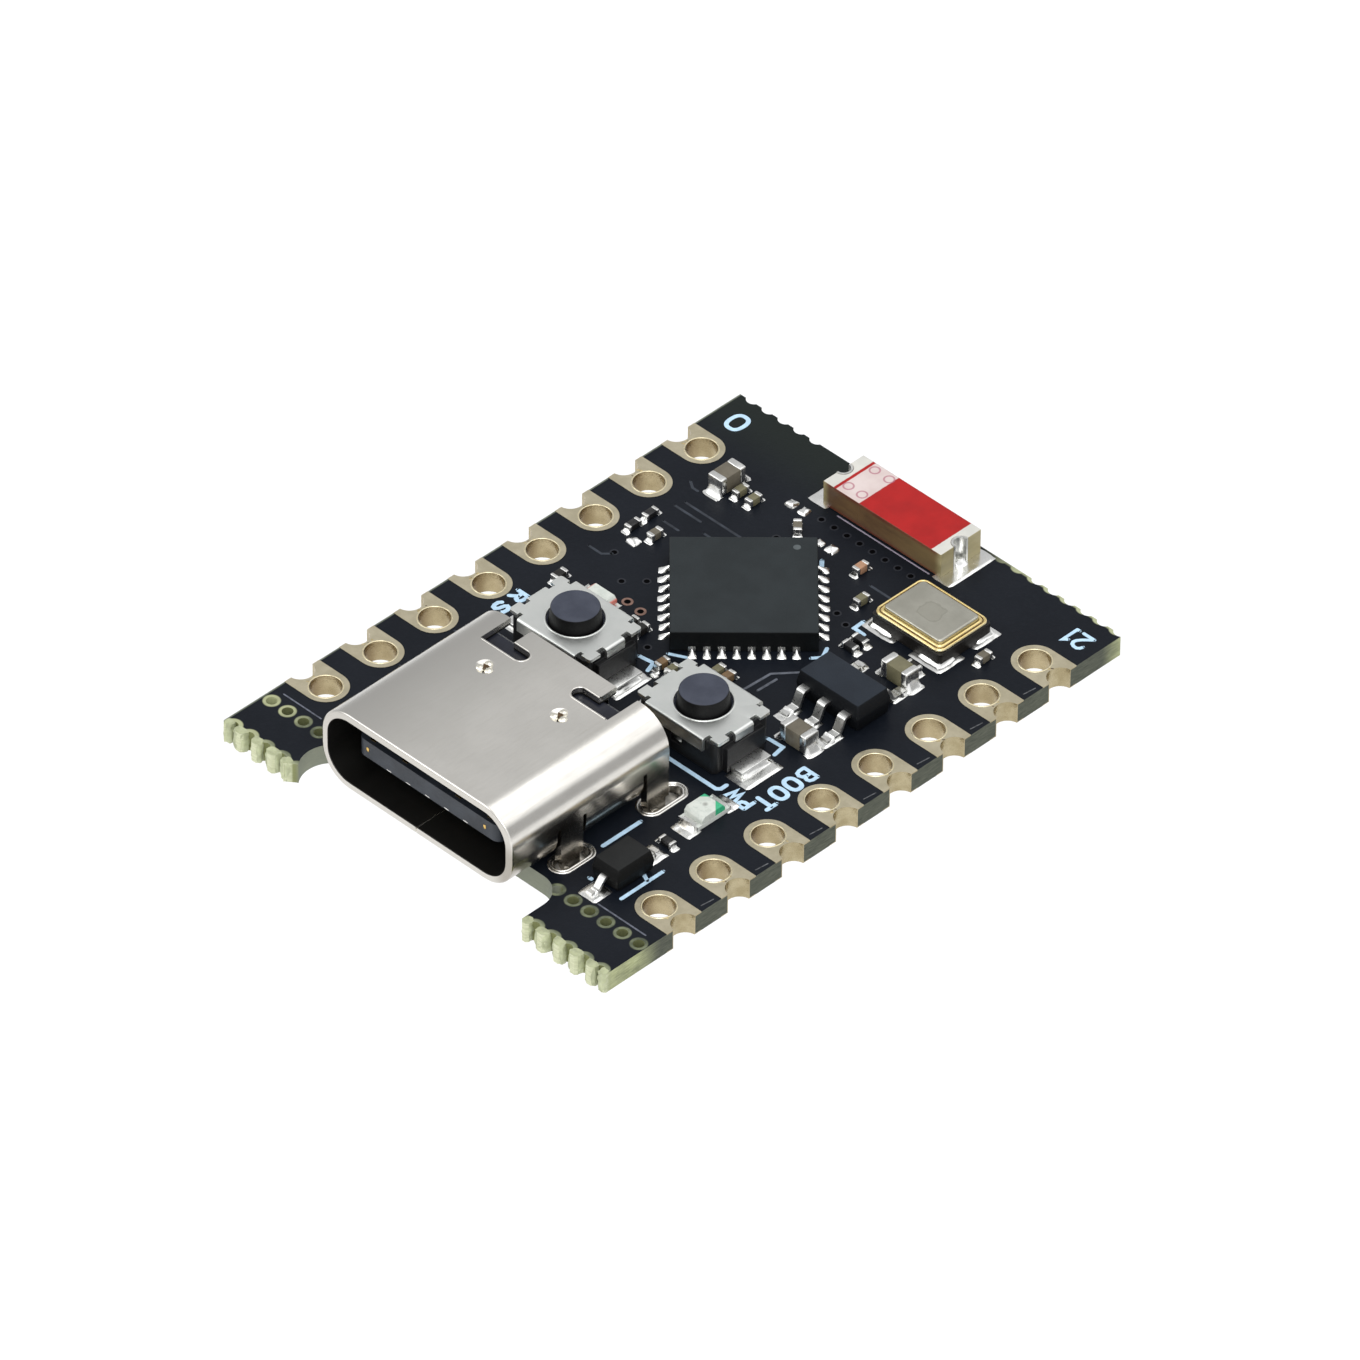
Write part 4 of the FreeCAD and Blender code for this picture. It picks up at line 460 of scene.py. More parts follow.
    # crystal lid: satin metal with a faint round stain
    t = Tree("crystal_metal", 1.0, 0.38)
    x, y = t.xyz()[0], t.xyz()[1]
    dx = t.math("ABSOLUTE", t.math("SUBTRACT", x, 4.32))
    dy = t.math("ABSOLUTE", t.math("SUBTRACT", y, 7.55))
    d = t.math("POWER", t.math("ADD", t.math("POWER", dx, 4.0), t.math("POWER", dy, 4.0)), 0.25)
    wob = t.noise(2.6, 3.0)
    d = t.math("ADD", d, t.math("MULTIPLY", t.math("SUBTRACT", wob, 0.5), 0.3))
    stain = t.math("MAXIMUM", t.math("MULTIPLY", t.ramp(d, 0.46, 0.40), 0.55), t.ramp(t.math("ABSOLUTE", t.math("SUBTRACT", d, 0.42)), 0.06, 0.01))
    n = t.noise(1.1, 3.0)
    fine = t.noise(18.0, 4.0)
    c = t.mix(t.ramp(n, 0.3, 0.7), lin(178, 176, 164), lin(192, 190, 178))
    c = t.mix(t.math("MULTIPLY", stain, 0.5), c, lin(148, 146, 134))
    t.colour(c)
    t.roughness(t.math("ADD", t.ramp(fine, 0.3, 0.7, 0.34, 0.42), t.math("MULTIPLY", stain, 0.12)))
    t.bump(fine, 0.003)
    M["crystal_metal"] = t.mat

    # light lenses: milky resin, coloured marks on the corners of one
    for name, marks, tint in (("lens_power", "green", lin(64, 178, 130)), ("lens_status", "red", lin(214, 96, 78))):
        t = Tree(name, 0.0, 0.28, Specular_IOR_Level=0.4)
        x, y = t.xyz()[0], t.xyz()[1]
        n = t.noise(3.0, 3.0)
        c = t.mix(t.ramp(n, 0.3, 0.7), lin(202, 208, 200), lin(218, 222, 214))
        if marks == "green":
            # grey spot in the middle as painted shade of a small dimple, green in the rear right corner and along the
            # rear edge
            dx = t.math("SUBTRACT", x, 5.66)
            dy = t.math("SUBTRACT", y, -4.55)
            d = t.math("SQRT", t.math("ADD", t.math("MULTIPLY", dx, dx), t.math("MULTIPLY", dy, dy)))
            c = t.mix(t.ramp(d, 0.13, 0.03, 0.0, 0.7), c, lin(140, 140, 134))
            a = t.ramp(t.math("ADD", t.math("SUBTRACT", y, -4.16), t.math("SUBTRACT", x, 6.02)), -0.30, -0.24)
            b = t.ramp(t.math("SUBTRACT", t.math("SUBTRACT", y, -4.12), t.math("SUBTRACT", x, 5.33)), -0.26, -0.20)
            c = t.mix(t.math("MAXIMUM", a, b), c, tint)
        else:
            a = t.ramp(x, -4.9, -4.98)
            b = t.ramp(x, -4.0, -3.94)
            c = t.mix(t.math("MULTIPLY", t.math("MAXIMUM", a, b), 0.85), c, tint)
        t.colour(c)
        t.roughness(t.ramp(n, 0.3, 0.7, 0.24, 0.34))
        t.bump(n, 0.006)
        M[name] = t.mat


build_materials()


# ------------------------------------------------------------------ mesh kit
class Build:
    """Gathers faces in millimetres, with a material for each part of it."""

    def __init__(self):
        self.v, self.f, self.m = [], [], []

    def add(self, verts, faces, mat=0):
        k = len(self.v)
        self.v += [tuple(p) for p in verts]
        self.f += [tuple(i + k for i in f) for f in faces]
        self.m += [mat] * len(faces)

    def take(self, bm, mat=0, move=None):
        if move is not None:
            bm.transform(move)
        bm.verts.index_update()
        bm.normal_update()
        self.add([v.co.copy() for v in bm.verts], [[v.index for v in f.verts] for f in bm.faces], mat)
        bm.free()

    def make(self, name, mats, body="board_unit", replaces=(), slot=None, angle=38, bevel=None):
        me = bpy.data.meshes.new(name)
        me.from_pydata([(a * MM, b * MM, c * MM) for a, b, c in self.v], [], self.f)
        for m in mats:
            me.materials.append(M[m])
        me.polygons.foreach_set("material_index", self.m)
        me.polygons.foreach_set("use_smooth", [True] * len(self.f))
        me.update()
        me.set_sharp_from_angle(angle=math.radians(angle))
        o = bpy.data.objects.new(name, me)
        bpy.context.scene.collection.objects.link(o)
        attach(o, body)
        if replaces:
            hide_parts(*replaces)
        return o


def rbox(b, cx, cy, z0, lx, ly, lz, r, mat=0, turn=0.0, seg=2, wob=0.0, seed=0, cuts=0):
    """A block with soft edges; wob pushes its skin in and out a little."""
    bm = bmesh.new()
    bmesh.ops.create_cube(bm, size=1.0)
    bm.transform(Matrix.Diagonal((lx, ly, lz, 1.0)))
    bmesh.ops.bevel(bm, geom=list(bm.edges), offset=r, segments=seg, profile=0.5, affect="EDGES", clamp_overlap=True)
    if cuts:
        bmesh.ops.subdivide_edges(bm, edges=list(bm.edges), cuts=cuts, use_grid_fill=True)
    if wob:
        for v in bm.verts:
            n = noise.noise_vector(Vector((v.co.x * 6 + seed * 3.1, v.co.y * 6 - seed, v.co.z * 6 + 1.7)))
            v.co += n * wob
            v.co.x = max(-lx / 2, min(lx / 2, v.co.x))
            v.co.y = max(-ly / 2, min(ly / 2, v.co.y))
            v.co.z = max(-lz / 2, min(lz / 2, v.co.z))
    mv = Matrix.Translation((cx, cy, z0 + lz / 2)) @ Matrix.Rotation(math.radians(turn), 4, "Z")
    b.take(bm, mat, mv)


def pool(b, cx, cy, z0, lx, ly, h, mat=0, turn=0.0, seed=0, n=10, power=3.0, lump=0.35, edge=0.06, corner=0.10):
    """A low pool of solder with a lumpy crown."""
    ca, sa = math.cos(math.radians(turn)), math.sin(math.radians(turn))
    verts, faces = [], []
    for i in range(n + 1):
        for j in range(n + 1):
            u, v = i / n * 2 - 1, j / n * 2 - 1
            w = edge * noise.noise(Vector((u * 1.7 + seed * 5.3, v * 1.7 - seed * 2.1, 0.3)))
            k = 1 - corner * (abs(u) * abs(v)) ** 2 + w * max(abs(u), abs(v)) ** 3
            px, py = u * lx / 2 * min(k, 1.0), v * ly / 2 * min(k, 1.0)
            crown = max(0.0, 1 - max(abs(u), abs(v)) ** power)
            q = noise.noise(Vector((px * 4 + seed * 7.7, py * 4 + seed * 3.3, seed * 1.9)))
            z = h * crown ** 0.5 * (1 - lump * 0.5 + lump * q)
            verts.append((cx + px * ca - py * sa, cy + px * sa + py * ca, z0 + max(z, 0.0)))
    for i in range(n):
        for j in range(n):
            a = i * (n + 1) + j
            faces.append((a, a + n + 1, a + n + 2, a + 1))
    b.add(verts, faces, mat)


def taper(b, cx, cy, levels, r, mat=0, n=6):
    """A moulded block: rounded rings (z, length, width) stacked upwards, closed at both ends."""
    verts, faces = [], []
    ring = 4 * (n + 1)
    for z, lx, ly in levels:
        for q, (sx, sy) in enumerate(((1, 1), (-1, 1), (-1, -1), (1, -1))):
            for k in range(n + 1):
                a = math.pi / 2 * (q + k / n)
                verts.append((cx + sx * (lx / 2 - r) + r * math.cos(a), cy + sy * (ly / 2 - r) + r * math.sin(a), z))
    for i in range(len(levels) - 1):
        for k in range(ring):
            j = (k + 1) % ring
            faces.append((i * ring + k, i * ring + j, (i + 1) * ring + j, (i + 1) * ring + k))
    faces.append(tuple(range((len(levels) - 1) * ring, len(levels) * ring)))
    faces.append(tuple(range(ring - 1, -1, -1)))
    b.add(verts, faces, mat)


def lobe(b, cx, cy, half_x, half_y, z0, z1, mat=0, seed=0, lean=0.0, n=28, rows=11, wob=0.045):
    """One torn tongue of laminate: an upright column with a broken, uneven top."""
    verts, faces = [], []
    for i in range(rows + 1):
        f = i / rows
        z = z0 + (z1 - z0) * f
        shrink = 0.84 + 0.18 * math.sin(math.pi * min(max(f * 0.9 + 0.05, 0.0), 1.0)) ** 0.6 + 0.05 * noise.noise(Vector((f * 4.0, seed * 1.3, 0.4)))
        for k in range(n):
            a = 2 * math.pi * k / n
            ca, sa = math.cos(a), math.sin(a)
            ux = math.copysign(abs(ca) ** (2 / 3.0), ca) * half_x * shrink
            uy = math.copysign(abs(sa) ** (2 / 3.0), sa) * half_y * shrink
            q = noise.noise(Vector((ca * 1.6 + seed * 3.7, sa * 1.6, z * 5.0 + seed)))
            q2 = noise.noise(Vector((ca * 5.0 - seed, sa * 5.0, z * 14.0)))
            g = 1 + (wob * q + 0.4 * wob * q2) / max(half_x, half_y) * 2
            verts.append((cx + ux * g + lean * (uy / half_y), cy + uy * g, z))
    for i in range(rows):
        for k in range(n):
            j = (k + 1) % n
            faces.append((i * n + k, i * n + j, (i + 1) * n + j, (i + 1) * n + k))
    k0 = len(verts)
    rings = 4
    for i in range(1, rings):
        s = 1 - i / rings
        for k in range(n):
            bx, by, bz = verts[rows * n + k]
            h = 0.02 * noise.noise(Vector((k * 0.9 + seed, i * 1.7, seed * 2.0)))
            verts.append((cx + (bx - cx) * s, cy + (by - cy) * s, min(bz + 0.004 * i + h, z1 + 0.02)))
    verts.append((cx, cy, z1 + 0.006))
    prev = rows * n
    for i in range(1, rings):
        cur = k0 + (i - 1) * n
        for k in range(n):
            j = (k + 1) % n
            faces.append((prev + k, prev + j, cur + j, cur + k))
        prev = cur
    last = len(verts) - 1
    for k in range(n):
        faces.append((prev + k, prev + (k + 1) % n, last))
    faces.append(tuple(range(n - 1, -1, -1)))
    b.add(verts, faces, mat)


def climb(b, x, y, way, width, run, rise, z0=TOP, mat=0, seed=0, n=8, hollow=1.7, foot=0.02):
    """Solder that climbs an upright face at (x, y) and runs out along way."""
    dx, dy = way
    l = math.hypot(dx, dy)
    dx, dy = dx / l, dy / l
    tx, ty = -dy, dx
    verts, faces = [], []
    for i in range(n + 1):
        s = i / n
        for j in range(n + 1):
            t = j / n * 2 - 1
            edge = 1 - 0.9 * max(0.0, abs(t) - 0.6) ** 1.5
            q = noise.noise(Vector((s * 2.3 + seed * 4.1, t * 1.9 - seed * 1.3, seed * 0.7)))
            z = foot * (1 - s) + rise * (1 - s) ** hollow * edge * (0.95 + 0.12 * q)
            out = s * run * (1 - 0.18 * abs(t) ** 3 + 0.08 * q)
            half = width / 2 * (1 + 0.12 * s * (1 - abs(q)))
            z = z * (1.0 if abs(t) < 0.999 else 0.15)
            verts.append((x + dx * out + tx * t * half, y + dy * out + ty * t * half, z0 + max(z, 0.0)))
    for i in range(n):
        for j in range(n):
            a = i * (n + 1) + j
            faces.append((a, a + n + 1, a + n + 2, a + 1))
    b.add(verts, faces, mat)


def strip(b, pts, width, z0, h, mat=0, closed=False, caps=True):
    """A flat printed or etched line along points, with round ends."""
    P = [Vector((p[0], p[1])) for p in pts]
    n = len(P)
    left, right = [], []
    for i in range(n):
        a = P[(i - 1) % n] if (closed or i > 0) else None
        c = P[(i + 1) % n] if (closed or i < n - 1) else None
        d1 = (P[i] - a).normalized() if a is not None else None
        d2 = (c - P[i]).normalized() if c is not None else None
        if d1 is None:
            d1 = d2
        if d2 is None:
            d2 = d1
        m = d1 + d2
        m = m.normalized() if m.length > 1e-6 else d1
        nrm = Vector((-m.y, m.x))
        k = 1.0 / max(0.45, abs(nrm.dot(Vector((-d1.y, d1.x)))))
        left.append(P[i] + nrm * width / 2 * k)
        right.append(P[i] - nrm * width / 2 * k)
    if closed:
        verts, faces = [], []
        for z in (z0, z0 + h):
            verts += [(p.x, p.y, z) for p in left] + [(p.x, p.y, z) for p in right]
        N = 2 * n
        for i in range(n):
            j = (i + 1) % n
            faces += [
                (N + i, N + n + i, N + n + j, N + j)[::-1],
                (i, N + i, N + j, j), (n + i, n + j, N + n + j, N + n + i),
            ]
        b.add(verts, faces, mat)
        return
    loop = []
    if caps:
        d = (P[0] - P[1]).normalized()
        base = math.atan2(d.y, d.x)
        loop += [P[0] + Vector((math.cos(base + math.pi / 2 - a), math.sin(base + math.pi / 2 - a))) * width / 2
                 for a in [math.pi * k / 6 for k in range(5, 0, -1)]]
    loop2 = []
    if caps:
        d = (P[-1] - P[-2]).normalized()
        base = math.atan2(d.y, d.x)
        loop2 += [P[-1] + Vector((math.cos(base + math.pi / 2 - a), math.sin(base + math.pi / 2 - a))) * width / 2
                  for a in [math.pi * k / 6 for k in range(1, 6)]]
    # quads along the line, and a fan at each end
    verts, faces = [], []
    for z in (z0, z0 + h):
        verts += [(p.x, p.y, z) for p in left] + [(p.x, p.y, z) for p in right]
    N = 2 * n
    for i in range(n - 1):
        j = i + 1
        faces += [(N + i, N + n + i, N + n + j, N + j), (i, N + i, N + j, j), (n + i, n + j, N + n + j, N + n + i)]
    for cap, li, ri in ((loop, 0, n), (loop2, n - 1, 2 * n - 1)):
        if not cap:
            continue
        k = len(verts)
        m = len(cap)
        verts += [(p.x, p.y, z0 + h) for p in cap] + [(p.x, p.y, z0) for p in cap]
        if li == 0:
            ring = [N + ri] + list(range(k, k + m))[::-1] + [N + li]
            ring = [N + li] + list(range(k + m - 1, k - 1, -1)) + [N + ri]
        else:
            ring = [N + li] + list(range(k, k + m)) + [N + ri]
        faces.append(tuple(ring))
        for q in range(m - 1):
            faces.append((k + q, k + q + 1, k + m + q + 1, k + m + q))
    b.add(verts, faces, mat)


def disc(b, cx, cy, z, r, mat=0, n=24, h=0.0):
    verts = [(cx + r * math.cos(2 * math.pi * k / n), cy + r * math.sin(2 * math.pi * k / n), z) for k in range(n)]
    b.add(verts, [tuple(range(n))], mat)
    if h:
        low = [(x, y, z - h) for x, y, _ in verts]
        b.add(verts + low, [(k, n + k, n + (k + 1) % n, (k + 1) % n) for k in range(n)], mat)


def annulus(b, cx, cy, z, r0, r1, mat=0, n=28, h=0.004, wob=0.0, seed=0):
    verts, faces = [], []
    for k in range(n):
        a = 2 * math.pi * k / n
        q = 1 + wob * noise.noise(Vector((math.cos(a) * 2 + seed, math.sin(a) * 2, seed * 0.7)))
        for r, zz in ((r0, z - h), (r0, z), (r1 * q, z), (r1 * q, z - h)):
            verts.append((cx + r * math.cos(a), cy + r * math.sin(a), zz))
    for k in range(n):
        j = (k + 1) % n
        for e in range(3):
            faces.append((4 * k + e, 4 * k + e + 1, 4 * j + e + 1, 4 * j + e))
    b.add(verts, faces, mat)


def soften(node, mats, width, seg=2, name=None, angle=35, body="board_unit"):
    """A copy of a CAD piece with rounded edges, shown in its place."""
    src = NODES[node]
    me = src.data.copy()
    bm = bmesh.new()
    bm.from_mesh(me)
    bmesh.ops.remove_doubles(bm, verts=list(bm.verts), dist=2e-7)
    bmesh.ops.dissolve_limit(bm, angle_limit=math.radians(0.6), verts=list(bm.verts), edges=list(bm.edges), delimit={"NORMAL"})
    bm.to_mesh(me)
    bm.free()
    me.materials.clear()
    for m in mats:
        me.materials.append(M[m])
    me.polygons.foreach_set("use_smooth", [True] * len(me.polygons))
    me.set_sharp_from_angle(angle=math.radians(angle))
    o = bpy.data.objects.new(name or (node + "_look"), me)
    bpy.context.scene.collection.objects.link(o)
    mod = o.modifiers.new("soft_edges", "BEVEL")
    mod.width = width * MM
    mod.segments = seg
    mod.limit_method = "ANGLE"
    mod.angle_limit = math.radians(angle)
    mod.harden_normals = False
    mod.miter_outer = "MITER_ARC"
    even = o.modifiers.new("flat_faces_flat", "WEIGHTED_NORMAL")
    even.mode = "FACE_AREA"
    even.weight = 100
    even.keep_sharp = True
    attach(o, body)
    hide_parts(node)
    return o


def dress(node, mat):
    me = NODES[node].data
    me.materials.clear()
    me.materials.append(M[mat])


# ------------------------------------------------------------------ CAD pieces
for node, mat in (
    ("circuit_board", "board"), ("edge_pads", "gold_pads"), ("leg_slot_plating", "slot_tin"),
    ("port_shell", "port_metal"), ("port_contacts", "contact_gold"), ("port_mid_plate", "slot_tin"),
    ("port_insulator", "tongue_plastic"), ("leg_slot_solder", "solder"),
    ("main_chip_lands", "lead_tin"), ("main_chip_package", "chip_black"), ("main_chip_solder", "solder"),
    ("antenna_body", "antenna_ceramic"), ("antenna_terminals", "antenna_silver"),
    ("crystal_base", "crystal_ceramic"), ("crystal_rim", "crystal_gold"), ("crystal_lid", "crystal_metal"),
    ("regulator_leads", "lead_tin"), ("regulator_package", "reg_black"),
    ("diode_leads", "lead_tin"), ("diode_package", "diode_black"),
    ("power_light_terminals", "lead_tin"), ("power_light_base", "light_base"), ("power_light_lens", "lens_power"),
    ("status_light_terminals", "lead_tin"), ("status_light_base", "light_base"), ("status_light_lens", "lens_status"),
    ("large_capacitor_bodies", "cap_olive"), ("large_capacitor_ends", "lead_tin"),
    ("small_capacitor_bodies", "cap_tan"), ("small_capacitor_ends", "lead_tin"),
    ("resistor_bodies", "resistor_black"), ("resistor_ends", "lead_tin"), ("component_solder", "solder"),
):
    dress(node, mat)
for tag in ("reset", "boot"):
    for part, mat in (("terminals", "lead_tin"), ("base", "key_black"), ("dome", "key_metal"), ("plunger", "key_cap"), ("cover", "key_metal")):
        dress("%s_%s" % (tag, part), mat)

soften("antenna_body", ["antenna_ceramic"], 0.03)
soften("crystal_base", ["crystal_ceramic"], 0.03)
soften("crystal_rim", ["crystal_gold"], 0.03)
soften("main_chip_package", ["chip_black"], 0.02)
pack = Build()
taper(pack, 4.9, 2.74, ((0.86, 2.70, 1.40), (0.90, 2.76, 1.46), (1.36, 2.89, 1.59), (1.40, 2.9, 1.6), (1.44, 2.89, 1.59),
                        (1.86, 2.72, 1.42), (1.90, 2.68, 1.38), (1.918, 2.60, 1.30)), 0.06)
pack.make("regulator_look", ["reg_black"], replaces=["regulator_package"], slot="chip_black", angle=30)
pack = Build()
taper(pack, 5.85, -8.57, ((0.86, 1.12, 1.56), (0.90, 1.17, 1.61), (1.24, 1.245, 1.69), (1.28, 1.25, 1.7), (1.32, 1.245, 1.69),
                          (1.66, 1.10, 1.54), (1.70, 1.06, 1.50), (1.718, 0.99, 1.43)), 0.05)
pack.make("diode_look", ["diode_black"], replaces=["diode_package"], slot="chip_black", angle=30)
for tag in ("reset", "boot"):
    soften(tag + "_cover", ["key_metal"], 0.03, seg=2)
    soften(tag + "_base", ["key_black"], 0.04)
    soften(tag + "_plunger", ["key_cap"], 0.07, seg=4, body=tag + "_key")
# flat tabs of the buttons, and a thin turned-up lip round each plunger
for tag, cx in (("reset", -3.3), ("boot", 2.73)):
    tabs = Build()
    for k in (-1, 1):
        rbox(tabs, cx + k * 2.21, -1.72, SEAT + 0.004, 0.64, 1.38, 0.226, 0.035, 0, 0, 3)
        rbox(tabs, cx + k * 1.95, -1.72, SEAT + 0.002, 0.5, 1.2, 0.2, 0.03, 0, 0, 2)
    tabs.make(tag + "_tab_look", ["lead_tin"], replaces=[tag + "_terminals"])
    top_z = max((NODES[tag + "_cover"].matrix_world @ v.co).z for v in NODES[tag + "_cover"].data.vertices) / MM
    lip = Build()
    verts, faces, n, m = [], [], 64, 6
    for a in range(n):
        ca, sa = math.cos(2 * math.pi * a / n), math.sin(2 * math.pi * a / n)
        for b2 in range(m + 1):
            q = math.pi * b2 / m
            rr = 1.03 - 0.038 * math.cos(q)
            verts.append((cx + rr * ca, -1.68 + rr * sa, top_z - 0.004 + 0.03 * math.sin(q)))
    for a in range(n):
        a2 = (a + 1) % n
        for b2 in range(m):
            faces.append((a * (m + 1) + b2, a * (m + 1) + b2 + 1, a2 * (m + 1) + b2 + 1, a2 * (m + 1) + b2))
    lip.add(verts, faces, 0)
    lip.make(tag + "_cover_lip", ["key_metal"], angle=60)
# spring domes: thin caps under the plungers
for tag, cx in (("reset", -3.3), ("boot", 2.73)):
    dome = Build()
    zc = 1.2 + 0.41 - 1.818
    n, m = 48, 8
    verts, faces = [], []
    rings = []
    for radius, order in ((1.818, range(1, m + 1)), (1.748, range(m, 0, -1))):
        edge = math.acos((1.2 - zc) / radius)
        for k in order:
            a = edge * k / m
            rings.append((radius * math.sin(a), zc + radius * math.cos(a)))
    verts.append((cx, -1.68, zc + 1.818))
    for r, z in rings:
        for s in range(n):
            b2 = 2 * math.pi * s / n
            verts.append((cx + r * math.cos(b2), -1.68 + r * math.sin(b2), z))
    verts.append((cx, -1.68, zc + 1.748))
    last = len(verts) - 1
    for s in range(n):
        t2 = (s + 1) % n
        faces.append((0, 1 + s, 1 + t2))
        for q in range(len(rings) - 1):
            faces.append((1 + q * n + s, 1 + (q + 1) * n + s, 1 + (q + 1) * n + t2, 1 + q * n + t2))
        faces.append((last, 1 + (len(rings) - 1) * n + t2, 1 + (len(rings) - 1) * n + s))
    dome.add(verts, faces, 0)
    cap = dome.make(tag + "_dome_look", ["key_metal"], replaces=[tag + "_dome"], angle=50)
    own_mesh(cap)

for tag in ("power", "status"):
    soften(tag + "_light_lens", ["lens_" + tag], 0.025)
    soften(tag + "_light_base", ["light_base"], 0.015)

# raised inner seal on the crystal's gold rim, and a thin groove painted dark as painted shade
seal = Build()
for half_x, half_y, r, w, z0, h, mat in ((1.385, 1.025, 0.20, 0.12, 1.438, 0.06, 0), (1.468, 1.108, 0.24, 0.045, 1.441, 0.004, 1), (1.53, 1.17, 0.27, 0.07, 1.436, 0.03, 0)):
    loop = []
    for cx, cy, a0 in ((1, 1, 0), (-1, 1, 90), (-1, -1, 180), (1, -1, 270)):
        for k in range(9):
            a = math.radians(a0 + 90 * k / 8)
            loop.append((4.28 + cx * (half_x - r), 7.59 + cy * (half_y - r), r, math.cos(a), math.sin(a)))
    verts, faces, m, n = [], [], 6, len(loop)
    for px, py, rr, nx, ny in loop:
        for q in range(m + 1):
            a = math.pi * q / m
            reach = rr + w / 2 * math.cos(a)
            verts.append((px + nx * reach, py + ny * reach, z0 + h * math.sin(a)))
    for i in range(n):
        j = (i + 1) % n
        for q in range(m):
            faces.append((i * (m + 1) + q, j * (m + 1) + q, j * (m + 1) + q + 1, i * (m + 1) + q + 1))
    seal.add(verts, faces, mat)
seal.make("crystal_seal", ["crystal_gold", "seal_groove_shade"], slot="crystal_gold", angle=50)

# ------------------------------------------------------------------ small two-ended parts
BIG_CAPS = [
    (-5.87, 8.11, "y", 1.2, 0.68, 0.7, 0),
    (5.35, 4.98, "x", 1.22, 0.64, 0.7, 1),
    (5.27, 0.27, "x", 1.2, 0.68, 0.72, 0),
]
SMALL_CAPS = [
    (-5.21, 8.1, "y", 0.62, 0.32, 0.3, 1), (-4.57, 8.08, "y", 0.6, 0.32, 0.3, 1), (-2.5, 8.1, "d", 0.6, 0.32, 0.3, 0),
    (0.5, 8.08, "y", 0.6, 0.32, 0.3, 3), (1.68, 6.9, "y", 0.6, 0.32, 0.3, 1), (6.63, 7.67, "y", 0.6, 0.32, 0.3, 0),
    (-0.68, -0.2, "y", 0.56, 0.3, 0.3, 2), (-0.2, -0.2, "y", 0.56, 0.3, 0.3, 1), (0.9, 0.85, "y", 0.6, 0.32, 0.3, 1),
    (1.36, 0.85, "y", 0.6, 0.32, 0.3, 2), (-2.9, 0.55, "y", 0.6, 0.32, 0.3, 4), (-2.42, 0.55, "y", 0.6, 0.32, 0.3, 4),
    (-6.35, 0.6, "y", 0.6, 0.32, 0.3, 4), (5.35, 5.62, "x", 0.6, 0.32, 0.3, 4), (-5.62, 4.42, "y", 0.56, 0.32, 0.3, 0),
]
RESISTORS = [
    (3.1, 5.4, "x", 0.6, 0.3, 0.24, 0), (3.1, 4.92, "x", 0.6, 0.3, 0.24, 0), (5.84, -6.5, "x", 0.6, 0.3, 0.24, 0),
    (-6.53, 5.1, "y", 0.6, 0.3, 0.24, 0), (-6.53, 4.27, "y", 0.6, 0.3, 0.24, 0),
]
bodies_big, bodies_small, bodies_res = Build(), Build(), Build()
ends_big, ends_small, ends_res = Build(), Build(), Build()
joints = Build()
seed = 1
for parts, bodies, ends, end, run in (
    (BIG_CAPS, bodies_big, ends_big, 0.29, 0.26),
    (SMALL_CAPS, bodies_small, ends_small, 0.15, 0.13),
    (RESISTORS, bodies_res, ends_res, 0.13, 0.15),
):
    for x, y, way, long_, wide, tall, shade_index in parts:
        turn = {"x": 0, "y": 90, "d": -45}[way]
        dx, dy = math.cos(math.radians(turn)), math.sin(math.radians(turn))
        thin = 0.97
        rbox(bodies, x, y, SEAT, long_ - 2 * end + 0.03, wide * thin, tall * thin, 0.03, shade_index, turn, 2, 0.004, seed)
        for k in (-1, 1):
            cx, cy = x + k * dx * (long_ / 2 - end / 2), y + k * dy * (long_ / 2 - end / 2)
            rbox(ends, cx, cy, SEAT, end, wide, tall, min(0.07, end / 3), 0, turn, 3, 0.012, seed + k, cuts=1)
            ex, ey = x + k * dx * (long_ / 2 - 0.03), y + k * dy * (long_ / 2 - 0.03)
            climb(joints, ex, ey, (k * dx, k * dy), wide * 1.02, run, tall * 0.55, TOP, 0, seed * 3 + k)
            pool(joints, x + k * dx * (long_ / 2 + run * 0.3), y + k * dy * (long_ / 2 + run * 0.3), TOP,
                 run * 1.5, wide * 1.08, 0.03, 0, turn, seed * 5 + k, n=8, lump=0.2)
        seed += 1
bodies_big.make("large_capacitor_look", ["cap_grey", "cap_olive", "cap_tan"], replaces=["large_capacitor_bodies"], slot="capacitor_ceramic")
ends_big.make("large_capacitor_end_look", ["lead_tin"], replaces=["large_capacitor_ends"])
bodies_small.make("small_capacitor_look", ["cap_grey", "cap_olive", "cap_tan", "cap_pink", "cap_dark"], replaces=["small_capacitor_bodies"], slot="capacitor_ceramic")
ends_small.make("small_capacitor_end_look", ["lead_tin"], replaces=["small_capacitor_ends"])
bodies_res.make("resistor_look", ["resistor_black"], replaces=["resistor_bodies"])
ends_res.make("resistor_end_look", ["lead_tin"], replaces=["resistor_ends"])

